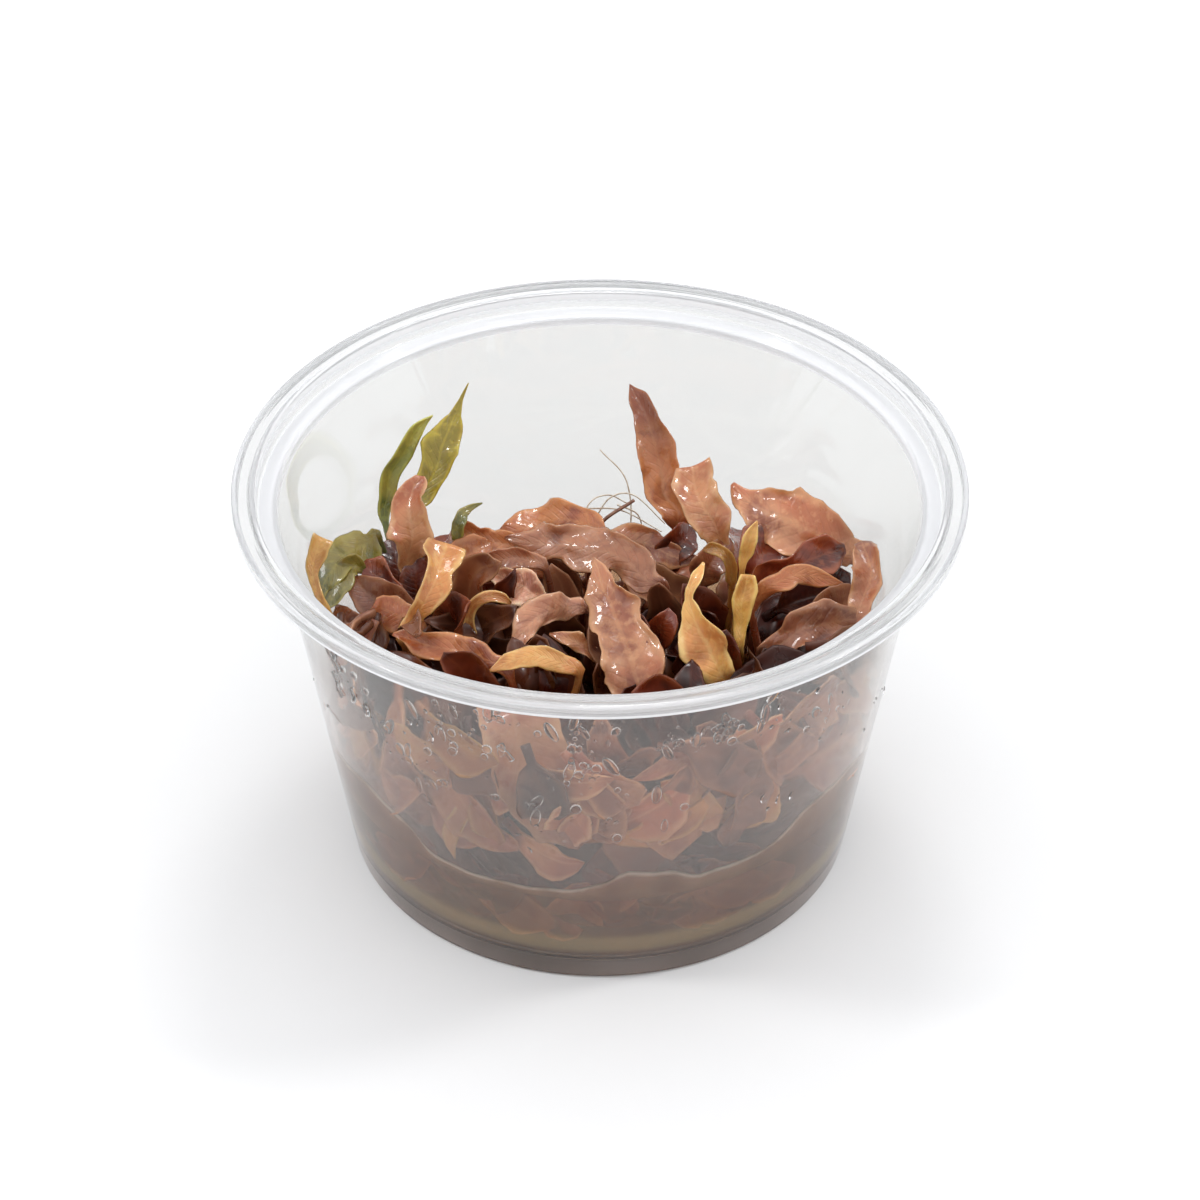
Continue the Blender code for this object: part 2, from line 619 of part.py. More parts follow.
        [(7.5, -22, 31), (5.5, -20, 38.5), (4, -16, 41.7), (2.5, -11, 43.5),
         (0.5, -6, 45.7), (-1, -1, 46.7)],
        width=8.8, face=(0.1, -0.85, 0.5), turn=(-0.1, -0.8, 0.6), fold=-10, ruffle=0.4,
        outline=[(0.1, 0.5), (0.35, 0.95), (0.5, 1), (0.68, 0.8), (0.85, 0.5), (1, 0.06)]),
    "light_pink_wall_leaf": leaf(
        "front_right", [(19, -29, 36), (17, -33, 39), (11, -36, 40), (4, -38, 38)],
        width=5.5, face=(0, -0.9, 0.5), fold=10, ruffle=0.3, widest=0.4),
    "tan_wall_leaf": leaf(
        "front_right", [(14, -30, 25), (14, -34, 28), (12, -35, 33), (8, -36, 36)],
        width=6.0, face=(0.2, -1, 0.2), fold=10, ruffle=0.4),
    "mauve_wall_leaf": leaf(
        "front_right", [(16, -31, 19), (17, -32, 24), (19, -32, 30), (21, -31, 35)],
        width=7.0, face=(0.5, -0.9, 0.1), fold=25, ruffle=0.5, petiole=0.3),
    "orange_wall_leaf": leaf(
        "front_right", [(21, -28, 32), (23, -30, 34), (26, -29, 36), (29, -26, 37)],
        width=4.0, face=(0.4, -0.9, 0.4), fold=10, ruffle=0.2, petiole=0.6),
    "tan_right_wall_leaf": leaf(
        "front_right", [(29, -18, 22), (33.5, -16.5, 26), (36, -14, 31), (38, -10, 37)],
        width=5.0, face=(0.8, -0.6, 0.1), fold=15, ruffle=0.4),
    # Back and sides.
    "back_left_leaf": leaf(
        "left", [(-24, 14, 24), (-24, 21, 29), (-22, 28, 29)],
        width=7.0, face=(0, 0.4, 1), fold=20, ruffle=0.6),
    "back_middle_leaf": leaf(
        "middle", [(-6, 16, 25), (-8, 23, 28), (-8, 31, 25)],
        width=7.0, face=(0, 0.3, 1), fold=20, ruffle=0.6),
    "back_right_leaf": leaf(
        "right", [(22, 12, 26), (22, 20, 31), (19, 28, 30)],
        width=8.0, face=(0.2, 0.4, 1), fold=15, ruffle=0.6),
    "back_low_leaf": leaf(
        "middle", [(6, 16, 23), (9, 24, 25), (10, 32, 23)],
        width=6.0, face=(0, 0.3, 1), fold=20, ruffle=0.4),
    "left_wall_leaf": leaf(
        "left", [(-31, -9, 24), (-34, -11, 30), (-36, -11, 36), (-35, -8, 41)],
        width=6.5, face=(-0.9, -0.5, 0.1), fold=15, ruffle=0.5),
    "centre_wall_leaf": leaf(
        "front_right", [(5, -27, 29), (3, -31, 34), (1, -33, 39), (0, -31, 44)],
        width=6.5, face=(0, -1, 0.1), fold=15, ruffle=0.5),
    "low_front_leaf": leaf(
        "front_right", [(7, -26, 19), (4, -31, 19.5), (-2, -34, 19)],
        width=6.0, face=(0.2, -0.8, 0.6), fold=10, ruffle=0.4),
}


def basal_leaf(side, chance):
    """The facts of a small leaf that grows on a crown, in a seeded direction."""
    x, y = CROWNS[side]
    turn = chance.uniform(0, 2 * math.pi)
    rise = chance.uniform(*BASAL_RISE)
    length = chance.uniform(*BASAL_LENGTH)
    level = GEL_LEVEL + chance.uniform(*BASAL_LEVEL) * (CROWN_TOP - GEL_LEVEL)
    outward = Vector((math.cos(turn), math.sin(turn), 0.0))
    heading = outward * math.cos(rise) + Vector((0, 0, math.sin(rise)))
    start = Vector((x * MM, y * MM, level)) + outward * 0.6 * CROWN_RADIUS
    sag = Vector((0, 0, -BASAL_SAG * length))
    face = Vector((-heading.x, -heading.y, 1))
    return {
        "route": [start, start + heading * length / 2 - sag, start + heading * length + sag],
        "width": chance.uniform(*BASAL_WIDTH),
        "face": face,
        "turn": face,
        "fold": math.radians(20),
        "ruffle": 0.4 * MM,
        "waves": 1.5,
        "widest": 0.5,
        "petiole": 0.2,
        "outline": None,
    }


def grow_basal_leaves(crown, side, placed, cutters, surface, chance):
    """Joins small leaves to a crown, each in the first free direction that is tried."""
    grown = []
    for attempt in range(BASAL_TRIES):
        name = f"basal_{side}_{attempt}"
        basal = leaf_object(name, basal_leaf(side, chance), BASAL_ROWS, cutters, surface)
        corners, faces = swollen_solid(basal)
        tree = BVHTree.FromPolygons(corners, faces)
        if not inside_cup(corners) or any(tree.overlap(other) for other in placed + grown):
            bpy.data.objects.remove(basal, do_unlink=True)
            continue
        hide(basal)
        union = crown.modifiers.new(name, "BOOLEAN")
        union.operation = "UNION"
        union.object = basal
        grown.append(tree)
        if len(grown) == MOST_BASAL:
            break


# Roots that rise from the middle crown and curl in the air behind the leaves.
ROOTS = {
    "root_fine_left": [(-4, 8, 18), (-6, 17, 29), (-7, 22, 37.5), (-4, 23, 38), (-2, 23, 36.5)],
    "root_fine_right": [(-3, 8.3, 20), (-4, 19, 30), (-2, 24, 37), (1, 26, 38), (4, 26, 36.5)],
    "root_high": [(-1, 8.5, 18), (4, 22, 31), (4, 26, 40), (0, 29, 44)],
    "root_brown": [(0.3, 8.1, 21), (-2, 17, 32), (0, 20, 37), (5, 22, 40)],
}


def add_root(name, points, collection, surface):
    curve = bpy.data.curves.new(name, "CURVE")
    curve.dimensions = "3D"
    curve.bevel_depth = ROOT_RADIUS
    curve.bevel_resolution = 1
    curve.use_fill_caps = True
    route = smooth_route([Vector(point) * MM for point in points], ROOT_POINTS)
    spline = curve.splines.new("POLY")
    spline.points.add(len(route) - 1)
    for point, place in zip(spline.points, route):
        point.co = (*place, 1.0)
    return add_object(name, curve, collection, surface)


def main():
    clear_scene()
    parts = new_collection("cryptocoryne")
    cutters = new_collection("cutters")
    clear_plastic = material("clear plastic", (0.9, 0.9, 0.9), 0.15, alpha=0.35)
    clear_gel = material("gel", (0.55, 0.45, 0.35), 0.3, alpha=0.6)
    leaf_brown = material("leaf", (0.42, 0.2, 0.14), 0.3)
    crown_brown = material("crown", (0.2, 0.1, 0.06), 0.5)
    root_pale = material("root", (0.8, 0.74, 0.64), 0.5)

    turned("cup", cup_profile(), CUP_STEPS, parts, clear_plastic)
    gel = turned("gel", gel_profile(), CUP_STEPS, parts, clear_gel)
    crowns = {}
    for side in CROWNS:
        crowns[side] = add_crown(side, parts, crown_brown)
        cut_pocket(gel, side, cutters, clear_gel)
    placed = [tree_of(crown) for crown in crowns.values()]
    for name, points in ROOTS.items():
        placed.append(tree_of(add_root(name, points, parts, root_pale)))
    grown = dict.fromkeys(CROWNS, 0)
    for name, facts in LEAVES.items():
        side = facts["crown"]
        set_route(facts, grown[side] % TIERS)
        grown[side] += 1
        rows = LONG_LEAF_ROWS if len(facts["route"]) > 6 else SHORT_LEAF_ROWS
        obj = leaf_object(name, facts, rows, parts, leaf_brown)
        settle(obj, placed)
        placed.append(tree_of(obj))
    chance = random.Random(BASAL_SEED)
    for index, (side, crown) in enumerate(crowns.items()):
        others = placed[:index] + placed[index + 1 :]
        grow_basal_leaves(crown, side, others, cutters, crown_brown, chance)
        placed[index] = tree_of(crown)


main()
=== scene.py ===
"""The looks of a potted cryptocoryne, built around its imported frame.

Metres, +Z up. The origin is the centre of the foot ring's underside, and the front is at
-Y. The cup, the gel, the crowns, the roots and the routes of the leaves are those of the
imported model; the leaves here have fine blades, ribs and ruffled margins.
"""

import math
import random

import bmesh
import bpy
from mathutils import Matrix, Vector, kdtree, noise


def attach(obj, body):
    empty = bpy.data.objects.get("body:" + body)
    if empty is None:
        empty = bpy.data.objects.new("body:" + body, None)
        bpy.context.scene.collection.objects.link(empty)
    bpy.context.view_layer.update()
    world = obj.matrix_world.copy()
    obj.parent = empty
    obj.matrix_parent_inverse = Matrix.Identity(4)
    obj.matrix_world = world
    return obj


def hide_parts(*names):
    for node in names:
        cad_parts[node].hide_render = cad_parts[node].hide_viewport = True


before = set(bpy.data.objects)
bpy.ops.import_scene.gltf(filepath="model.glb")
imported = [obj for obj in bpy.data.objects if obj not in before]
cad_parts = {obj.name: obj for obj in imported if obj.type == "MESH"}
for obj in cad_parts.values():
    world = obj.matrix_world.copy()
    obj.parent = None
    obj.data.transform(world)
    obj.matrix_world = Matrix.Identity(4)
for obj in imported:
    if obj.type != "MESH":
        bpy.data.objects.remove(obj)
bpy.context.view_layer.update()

MM = 0.001

# Cup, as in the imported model.
RIM_RADIUS = 50.5 * MM
CUP_HEIGHT = 60.0 * MM
WALL = 0.8 * MM
BASE_RADIUS = 36.1 * MM
NECK_RADIUS = 45.1 * MM
SEAT_DEPTH = 2.8 * MM
SEAT_STEP_RADIUS = RIM_RADIUS - 3.3 * MM
LIP_HEIGHT = 1.7 * MM
FOOT_HEIGHT = 3.0 * MM
FOOT_WIDTH = 1.5 * MM
FLOOR_TOP = FOOT_HEIGHT + WALL
CUP_STEPS = 192

# Gel and crowns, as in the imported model.
GEL_LEVEL = 15.0 * MM
GEL_OVERLAP = 0.05 * MM
MENISCUS_WIDTH = 4.0 * MM
CROWN_RADIUS = 2.6 * MM
CROWN_BOTTOM = 8.5 * MM
CROWN_TOP = 25.0 * MM

# Leaves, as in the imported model.
TIER_HEIGHT = 1.7 * MM
TIERS = 5
PETIOLE_THICKNESS = 1.1 * MM
PETIOLE_WIDTH = 1.5 * MM
TIP_SHARE = 0.4
BLADE_BLUNTNESS = 1.5
RUFFLE_LAG = 1.3
SHORT_LEAF_ROWS = 8
LONG_LEAF_ROWS = 10
LONG_LEAF_POINTS = 7
CURVE_STEPS = 16

# Small leaves on the crowns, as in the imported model.
MOST_BASAL = 8
BASAL_TRIES = 400
BASAL_RISE = (math.radians(8), math.radians(60))
BASAL_LENGTH = (7 * MM, 17 * MM)
BASAL_LEVEL = (0.4, 0.85)
BASAL_WIDTH = (3.5 * MM, 7 * MM)
BASAL_SAG = 0.15
BASAL_SEED = 7
BASAL_TOLERANCE = 0.3 * MM

CROWNS = {
    "left": (-23, 3),
    "middle": (-2, 5),
    "right": (21, -1),
    "front_left": (-12, -20),
    "front_right": (12, -21),
}

# Fine leaf surfaces: the spacing of rows and columns, and the forms of blade and rib.
ROW_SPACING = 0.65 * MM
COLUMN_SPACING = 0.35 * MM
BLADE_THICKNESS = 0.34 * MM
RIB_HEIGHT = 0.32 * MM
RIB_WIDTH = 0.45 * MM
MARGIN_RIPPLE = 0.35 * MM
RIPPLE_LENGTH = 3.2 * MM
OUTLINE_LENGTH = 6.0 * MM
CRUMPLE_LENGTH = 5.0 * MM
FEWEST_ROWS = 14
COLUMNS = (4, 16)
RIB_SINK = 0.35

# How much the columns crowd towards the margin, and the shares of broad and fine unevenness.
MARGIN_CROWDING = 0.45
BROAD_RAGGEDNESS = 1.6
FINE_RAGGEDNESS = 0.7
FINE_CRUMPLE = 0.3

# Rows of a petiole's hidden end, as shares of the way out from the crown's axis.
HIDDEN_ROWS = (0.0, 0.3, 0.6, 0.85)
HIDDEN_DROP = 1.5 * MM


def outer_radius(height):
    """The cup's outer wall radius, which grows evenly from the base to the neck."""
    share = height / (CUP_HEIGHT - SEAT_DEPTH)
    return BASE_RADIUS + (NECK_RADIUS - BASE_RADIUS) * share


def inner_radius(height):
    return outer_radius(height) - WALL


def smooth_step(low, high, value):
    share = min(1.0, max(0.0, (value - low) / (high - low)))
    return share * share * (3 - 2 * share)


def polar(angle, radius=1.0, height=0.0):
    """The point at an angle, a radius and a height round the cup's axis."""
    return Vector((radius * math.cos(angle), radius * math.sin(angle), height))


def angles_round(count):
    return [2 * math.pi * step / count for step in range(count)]


def crown_point(side, height):
    """The point at a height on the axis of a crown."""
    x, y = CROWNS[side]
    return Vector((x * MM, y * MM, height))


def rings_mesh(name, rings, marks=None):
    """A closed mesh of quads between rings of equally many points, capped at both ends.

    marks maps an attribute's name to one list of values a ring.
    """
    count = len(rings[0])
    corners = [corner for ring in rings for corner in ring]
    faces = [list(range(count))[::-1]]
    for i in range(len(rings) - 1):
        for j in range(count):
            k = (j + 1) % count
            faces.append([i * count + j, i * count + k, (i + 1) * count + k, (i + 1) * count + j])
    faces.append([(len(rings) - 1) * count + j for j in range(count)])
    mesh = bpy.data.meshes.new(name)
    mesh.from_pydata(corners, [], faces)
    face_outwards(mesh)
    for mark, values in (marks or {}).items():
        attribute = mesh.attributes.new(mark, "FLOAT", "POINT")
        attribute.data.foreach_set("value", [value for ring in values for value in ring])
    mesh.shade_smooth()
    return mesh


def face_outwards(mesh):
    turned = bmesh.new()
    turned.from_mesh(mesh)
    bmesh.ops.recalc_face_normals(turned, faces=turned.faces)
    turned.to_mesh(mesh)
    turned.free()


def add_piece(name, mesh, surface, slot, *nodes):
    """Adds a mesh as a piece of the object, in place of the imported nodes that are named."""
    piece = bpy.data.objects.new(name, mesh)
    bpy.context.scene.collection.objects.link(piece)
    mesh.materials.append(surface)
    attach(piece, "root")
    if nodes:
        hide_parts(*nodes)
    return piece


def join_meshes(name, meshes):
    """One mesh made of several that have the same attributes."""
    joined = bmesh.new()
    for mesh in meshes:
        joined.from_mesh(mesh)
        bpy.data.meshes.remove(mesh)
    mesh = bpy.data.meshes.new(name)
    joined.to_mesh(mesh)
    joined.free()
    return mesh


def rounded(points, radii, steps=6):
    """A polyline with each inner corner replaced by a curve that starts its radius away."""
    smooth = [points[0]]
    for i in range(1, len(points) - 1):
        corner = Vector(points[i])
        before = Vector(points[i - 1]) - corner
        after = Vector(points[i + 1]) - corner
        reach = min(radii[i], 0.45 * before.length, 0.45 * after.length)
        start = corner + before.normalized() * reach
        end = corner + after.normalized() * reach
        for step in range(steps + 1):
            t = step / steps
            smooth.append(tuple(start * (1 - t) ** 2 + corner * 2 * t * (1 - t) + end * t * t))
    smooth.append(points[-1])
    return smooth


def cup_profile():
    """(radius, height) from the floor's middle up the inside, over the rim and down the outside."""
    seat = CUP_HEIGHT - SEAT_DEPTH
    step_outside = SEAT_STEP_RADIUS + WALL
    foot_inside = BASE_RADIUS - FOOT_WIDTH
    corners = [
        (1.0 * MM, FLOOR_TOP, 0.0),
        (inner_radius(FLOOR_TOP), FLOOR_TOP, 1.6),
        (inner_radius(seat), seat, 0.5),
        (SEAT_STEP_RADIUS - 0.15 * MM, seat, 0.4),
        (SEAT_STEP_RADIUS, CUP_HEIGHT, 0.45),
        (RIM_RADIUS, CUP_HEIGHT, 0.6),
        (RIM_RADIUS, CUP_HEIGHT - LIP_HEIGHT, 0.25),
        (RIM_RADIUS - WALL, CUP_HEIGHT - LIP_HEIGHT, 0.25),
        (RIM_RADIUS - WALL, CUP_HEIGHT - WALL, 0.35),
        (step_outside, CUP_HEIGHT - WALL, 0.5),
        (step_outside - 0.2 * MM, seat - WALL, 0.6),
        (outer_radius(seat - WALL), seat - WALL, 0.5),
        (BASE_RADIUS, 0.0, 1.0),
        (foot_inside, 0.0, 0.5),
        (foot_inside - 0.3 * MM, FOOT_HEIGHT, 0.5),
        (1.0 * MM, FOOT_HEIGHT, 0.0),
    ]
    points = [(radius, height) for radius, height, corner in corners]
    return rounded(points, [corner * MM for radius, height, corner in corners])


def turned_rings(profile, steps):
    rings = []
    for radius, height in profile:
        rings.append([polar(angle, radius, height) for angle in angles_round(steps)])
    return rings


def add_cup(surface):
    mesh = rings_mesh("moulded_cup", turned_rings(cup_profile(), CUP_STEPS))
    return add_piece("moulded_cup", mesh, surface, "clear_plastic", "cup")


# Where the gel's edge stands on the wall: (degrees from the front towards +X, height in mm).
GEL_EDGE = [
    (-180, 18.5), (-120, 19.5), (-87, 21), (-55, 25), (-43, 23), (-36, 19), (-25, 18.2),
    (-8, 18.5), (0, 20.2), (6, 22.6), (13, 22), (21, 19.8), (37, 20.6), (46, 24.5),
    (58, 25), (85, 20), (120, 18.8), (180, 18.5),
]


def gel_edge_height(bearing):
    """The height of the gel's edge at a bearing in degrees, read from GEL_EDGE."""
    for (start, low), (end, high) in zip(GEL_EDGE, GEL_EDGE[1:]):
        if start <= bearing <= end:
            return (low + (high - low) * smooth_step(start, end, bearing)) * MM
    return GEL_EDGE[0][1] * MM


def gel_point(angle, inward):
    """A point of the gel's surface, which lies the length inward away from the wall."""
    bearing = (math.degrees(angle) + 90 + 180) % 360 - 180
    edge = gel_edge_height(bearing)
    edge += noise.noise(polar(angle) * 9) * 0.5 * MM
    climb = max(0.0, 1 - inward / MENISCUS_WIDTH)
    radius = inner_radius(edge) + GEL_OVERLAP - inward
    flat = polar(angle) * radius
    swell = noise.noise(flat * 90) * 0.5 * MM + noise.noise(flat * 350) * 0.12 * MM
    level = GEL_LEVEL + swell
    return (*flat.to_2d(), level + (edge - level) * climb**2.2)


# Painted highlight of the meniscus, how pale the gel is painted near its edge on the wall: (share of the
# height or mm inward, paleness).
GEL_SIDE_PAINTED_HIGHLIGHT = {0.3: 0.0, 0.6: 0.0, 0.85: 0.0, 0.93: 0.1, 0.97: 0.9}
GEL_TOP_PAINTED_HIGHLIGHT = {0.0: 1.0, 0.15: 1.0, 0.35: 0.9, 0.6: 0.6, 1.0: 0.3, 1.5: 0.1}
GEL_TOP_ROWS = (2.2, 3, 4, 5.5, 7.5, 10, 13, 16, 19, 22, 25, 28, 31, 34, 36.5)


def gel_rings():
    """The gel from its underside out to the wall, up to its edge and in over its surface.

    Returns the rings and how pale each one is painted, for the meniscus's painted highlight.
    """
    foot = FLOOR_TOP - GEL_OVERLAP
    underside = [
        (1.0 * MM, foot),
        (inner_radius(FLOOR_TOP) - 1.3 * MM, foot),
        (inner_radius(FLOOR_TOP) - 0.3 * MM, foot + 0.4 * MM),
        (inner_radius(FLOOR_TOP + MM) + GEL_OVERLAP, FLOOR_TOP + 1.2 * MM),
    ]
    solid = turned_rings(underside, CUP_STEPS)
    painted_highlight = [0.0] * len(solid)
    angles = angles_round(CUP_STEPS)
    for share, pale in GEL_SIDE_PAINTED_HIGHLIGHT.items():
        ring = []
        for angle in angles:
            top = gel_point(angle, 0.0)[2]
            height = FLOOR_TOP + (top - FLOOR_TOP) * share
            ring.append(polar(angle, inner_radius(height) + GEL_OVERLAP, height))
        solid.append(ring)
        painted_highlight.append(pale)
    for length in (*GEL_TOP_PAINTED_HIGHLIGHT, *GEL_TOP_ROWS):
        solid.append([gel_point(angle, length * MM) for angle in angles])
        painted_highlight.append(GEL_TOP_PAINTED_HIGHLIGHT.get(length, 0.0))
    return solid, painted_highlight


def add_gel(surface):
    rings, painted_highlight = gel_rings()
    marks = {"pale": [[pale] * CUP_STEPS for pale in painted_highlight]}
    mesh = rings_mesh("nutrient_gel", rings, marks)
    return add_piece("nutrient_gel", mesh, surface, "gel", "gel")


def smooth_route(points, count):
    """Evenly spaced points on a smooth curve through the given ones."""
    ends = [2 * points[0] - points[1], *points, 2 * points[-1] - points[-2]]
    dense = []
    for i in range(1, len(ends) - 2):
        before, start, end, after = ends[i - 1 : i + 3]
        for step in range(CURVE_STEPS):
            t = step / CURVE_STEPS
            dense.append(
                start
                + 0.5 * t * (end - before)
                + t * t * (before - 2.5 * start + 2 * end - 0.5 * after)
                + 0.5 * t**3 * (3 * start - before - 3 * end + after)
            )
    dense.append(points[-1])
    lengths = [0.0]
    for start, end in zip(dense, dense[1:]):
        lengths.append(lengths[-1] + (end - start).length)
    route = []
    span = 0
    for i in range(count):
        wanted = lengths[-1] * i / (count - 1)
        while span < len(dense) - 2 and lengths[span + 1] < wanted:
            span += 1
        share = (wanted - lengths[span]) / (lengths[span + 1] - lengths[span])
        route.append(dense[span].lerp(dense[span + 1], share))
    return route


def route_length(points):
    return sum((end - start).length for start, end in zip(points, points[1:]))


def leaf(
    side, blade, width, face, turn=None, fold=20, ruffle=0.4, waves=2.5, widest=0.45, petiole=0.35,
    outline=None, tint="brown", curl=25, ragged=0.12, ripple=1.0, crumple=0.6, shade=1.0, tip_shade=1.0,
):
    """The facts of one leaf.

    side names its crown, and blade holds the blade's middle line from its base to its tip.
    face is where the upper side looks at the base, and turn where it looks at the tip.
    fold is the slope of each half in degrees, ruffle the height of the waves on its margins,
    widest the place of the greatest width, and petiole the petiole's share of the length.
    An outline, as (share of the blade, half-width against the widest), replaces widest, and
    the petiole then ends at the blade's first point.
    tint names its material. curl is how far its margins roll up, in degrees, ragged how
    uneven its outline is, ripple the height of its fine ripples, crumple how crumpled it is,
    shade its brightness, partly its own tone and partly painted light and shade, and
    tip_shade the factor on it at the tip.
    """
    return {
        "crown": side,
        "blade": [Vector(point) * MM for point in blade],
        "width": width * MM,
        "face": Vector(face).normalized(),
        "turn": Vector(turn or face).normalized(),
        "fold": math.radians(fold),
        "ruffle": ruffle * MM,
        "waves": waves,
        "widest": widest,
        "petiole": petiole,
        "outline": outline,
        "tint": tint,
        "curl": math.radians(curl),
        "ragged": ragged,
        "ripple": ripple * MARGIN_RIPPLE,
        "crumple": crumple * MM,
        "shade": shade,
        "tip_shade": tip_shade,
        "coarseness": 1.0,
    }


def route_from_crown(facts, tier):
    """The leaf's middle line: from its place on the crown's side to the blade's tip."""
    crown = crown_point(facts["crown"], CROWN_TOP - MM - tier * TIER_HEIGHT)
    outward = (facts["blade"][0] - crown).to_2d().normalized()
    start = crown + Vector((*outward * (CROWN_RADIUS + PETIOLE_THICKNESS), 0.0))
    return [start, *facts["blade"]]


def set_route(facts, tier):
    """Adds the leaf's route, and where it has an outline the petiole's share of it."""
    facts["route"] = route_from_crown(facts, tier)
    if facts["outline"]:
        facts["petiole"] = route_length(facts["route"][:2]) / route_length(facts["route"])


def blade_share(t, widest):
    """Half-width at share t of the blade, against the widest: pointed at both ends."""
    rise = BLADE_BLUNTNESS * widest
    fall = BLADE_BLUNTNESS * (1 - widest)
    peak = widest**rise * (1 - widest) ** fall
    return t**rise * (1 - t) ** fall / peak


def outline_share(t, outline):
    """Half-width at share t of the blade, against the widest, read from an outline."""
    for (start, low), (end, high) in zip([(0.0, 0.0), *outline], outline):
        if t <= end:
            return low + (high - low) * max(0.0, t - start) / (end - start)
    return outline[-1][1]


def leaf_share(facts, t):
    if facts["outline"]:
        return outline_share(t, facts["outline"])
    return blade_share(t, facts["widest"])


def leaf_place(facts, route, row):
    """What a leaf's cross-section needs at one row of its route."""
    rows = len(route) - 1
    s = row / rows
    t = max(0.0, (s - facts["petiole"]) / (1 - facts["petiole"]))
    ahead = route[min(row + 1, rows)] - route[max(row - 1, 0)]
    sideways = ahead.cross(facts["face"].lerp(facts["turn"], t)).normalized()
    normal = sideways.cross(ahead).normalized()
    share = leaf_share(facts, t)
    narrow = PETIOLE_WIDTH / 2 * (1 - s + TIP_SHARE * s)
    return s, t, sideways, normal, share, narrow


def drawn_corners(facts, rows):
    """The corners of the leaf's coarse middle surface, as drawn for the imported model."""
    route = smooth_route(facts["route"], rows + 1)
    corners = []
    for row, centre in enumerate(route):
        s, t, sideways, normal, share, narrow = leaf_place(facts, route, row)
        half = max(facts["width"] / 2 * share, narrow)
        fold = facts["fold"] * share
        for across in (-1, 0, 1):
            turns = facts["waves"] * t * 2 * math.pi + (RUFFLE_LAG if across > 0 else 0.0)
            wave = math.sin(turns) * facts["ruffle"] * share
            lift = abs(across) * half * math.sin(fold) + across * across * wave
            corners.append(centre + sideways * across * half * math.cos(fold) + normal * lift)
    return corners


def middle(corners):
    return sum(corners, Vector()) / len(corners)


def settled_move(node, facts):
    """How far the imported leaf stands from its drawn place, to be clear of its neighbours."""
    rows = LONG_LEAF_ROWS if len(facts["route"]) >= LONG_LEAF_POINTS else SHORT_LEAF_ROWS
    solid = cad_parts[node].data
    found = {tuple(round(value, 6) for value in vert.co) for vert in solid.vertices}
    return middle([Vector(corner) for corner in found]) - middle(drawn_corners(facts, rows))


def drift(spot):
    """A smooth direction that changes from place to place."""
    return Vector([noise.noise(spot + Vector((axis * 17.3, 0.0, axis * 9.1))) for axis in range(3)])


def outline_factor(facts, t, side, phase):
    """How much wider or narrower an uneven margin is at one place."""
    length = route_length(facts["blade"])
    place = Vector((t * length / OUTLINE_LENGTH, side * 3.1 + phase, 0.0))
    broad = noise.noise(place)
    fine = noise.noise(place * 3.3)
    return 1 + facts["ragged"] * (BROAD_RAGGEDNESS * broad + FINE_RAGGEDNESS * fine)


def half_section(facts, centre, place, side, columns, phase):
    """One half of a leaf's cross-section: (middle point offset, direction up, share across)."""
    s, t, sideways, normal, share, narrow = place
    width = facts["width"] / 2 * share * outline_factor(facts, t, side, phase)
    half = (max(width, 0.0) ** 4 + (narrow * (1 - 0.8 * t)) ** 4) ** 0.25
    length = route_length(facts["blade"])
    crumple = facts["crumple"] * min(1.0, share * 2)
    turns = facts["waves"] * t * 2 * math.pi + (RUFFLE_LAG if side > 0 else 0.0)
    wave = math.sin(turns) * facts["ruffle"] * share
    ripple = noise.noise(Vector((t * length / RIPPLE_LENGTH, side * 5.7 + phase, 4.0)))
    out = 0.0
    up = 0.0
    last = 0.0
    section = []
    for column in range(1, columns + 1):
        v = column / columns
        v = (1 - MARGIN_CROWDING) * v + MARGIN_CROWDING * math.sin(math.pi / 2 * v)
        angle = facts["fold"] * share + facts["curl"] * share * v**2
        out += math.cos(angle) * (v - last) * half
        up += math.sin(angle) * (v - last) * half
        last = v
        lift = up + v * v * wave + v**3 * ripple * facts["ripple"] * 2 * share
        rise = normal * math.cos(angle) - sideways * side * math.sin(angle)
        offset = sideways * side * out + normal * lift
        spot = (centre + offset) / CRUMPLE_LENGTH + Vector((phase, 0.0, 0.0))
        bend = drift(spot) + FINE_CRUMPLE * drift(spot * 2.7)
        offset += bend * 1.3 * crumple * (0.35 + 0.65 * v)
        section.append((offset, rise, v, half))
    return section


def leaf_rows(facts, move):
    """The middle points of a leaf's cross-sections, and what each cross-section needs."""
    route = [point + move for point in facts["route"]]
    rows = max(FEWEST_ROWS, round(route_length(route) / ROW_SPACING / facts["coarseness"]))
    points = smooth_route(route, rows + 1)
    places = [leaf_place(facts, points, row) for row in range(len(points))]
    if "anchor" in facts:
        hidden = [facts["anchor"].lerp(points[0], share) for share in HIDDEN_ROWS]
        points = hidden + points
        places = [places[0]] * len(hidden) + places
    return points, places


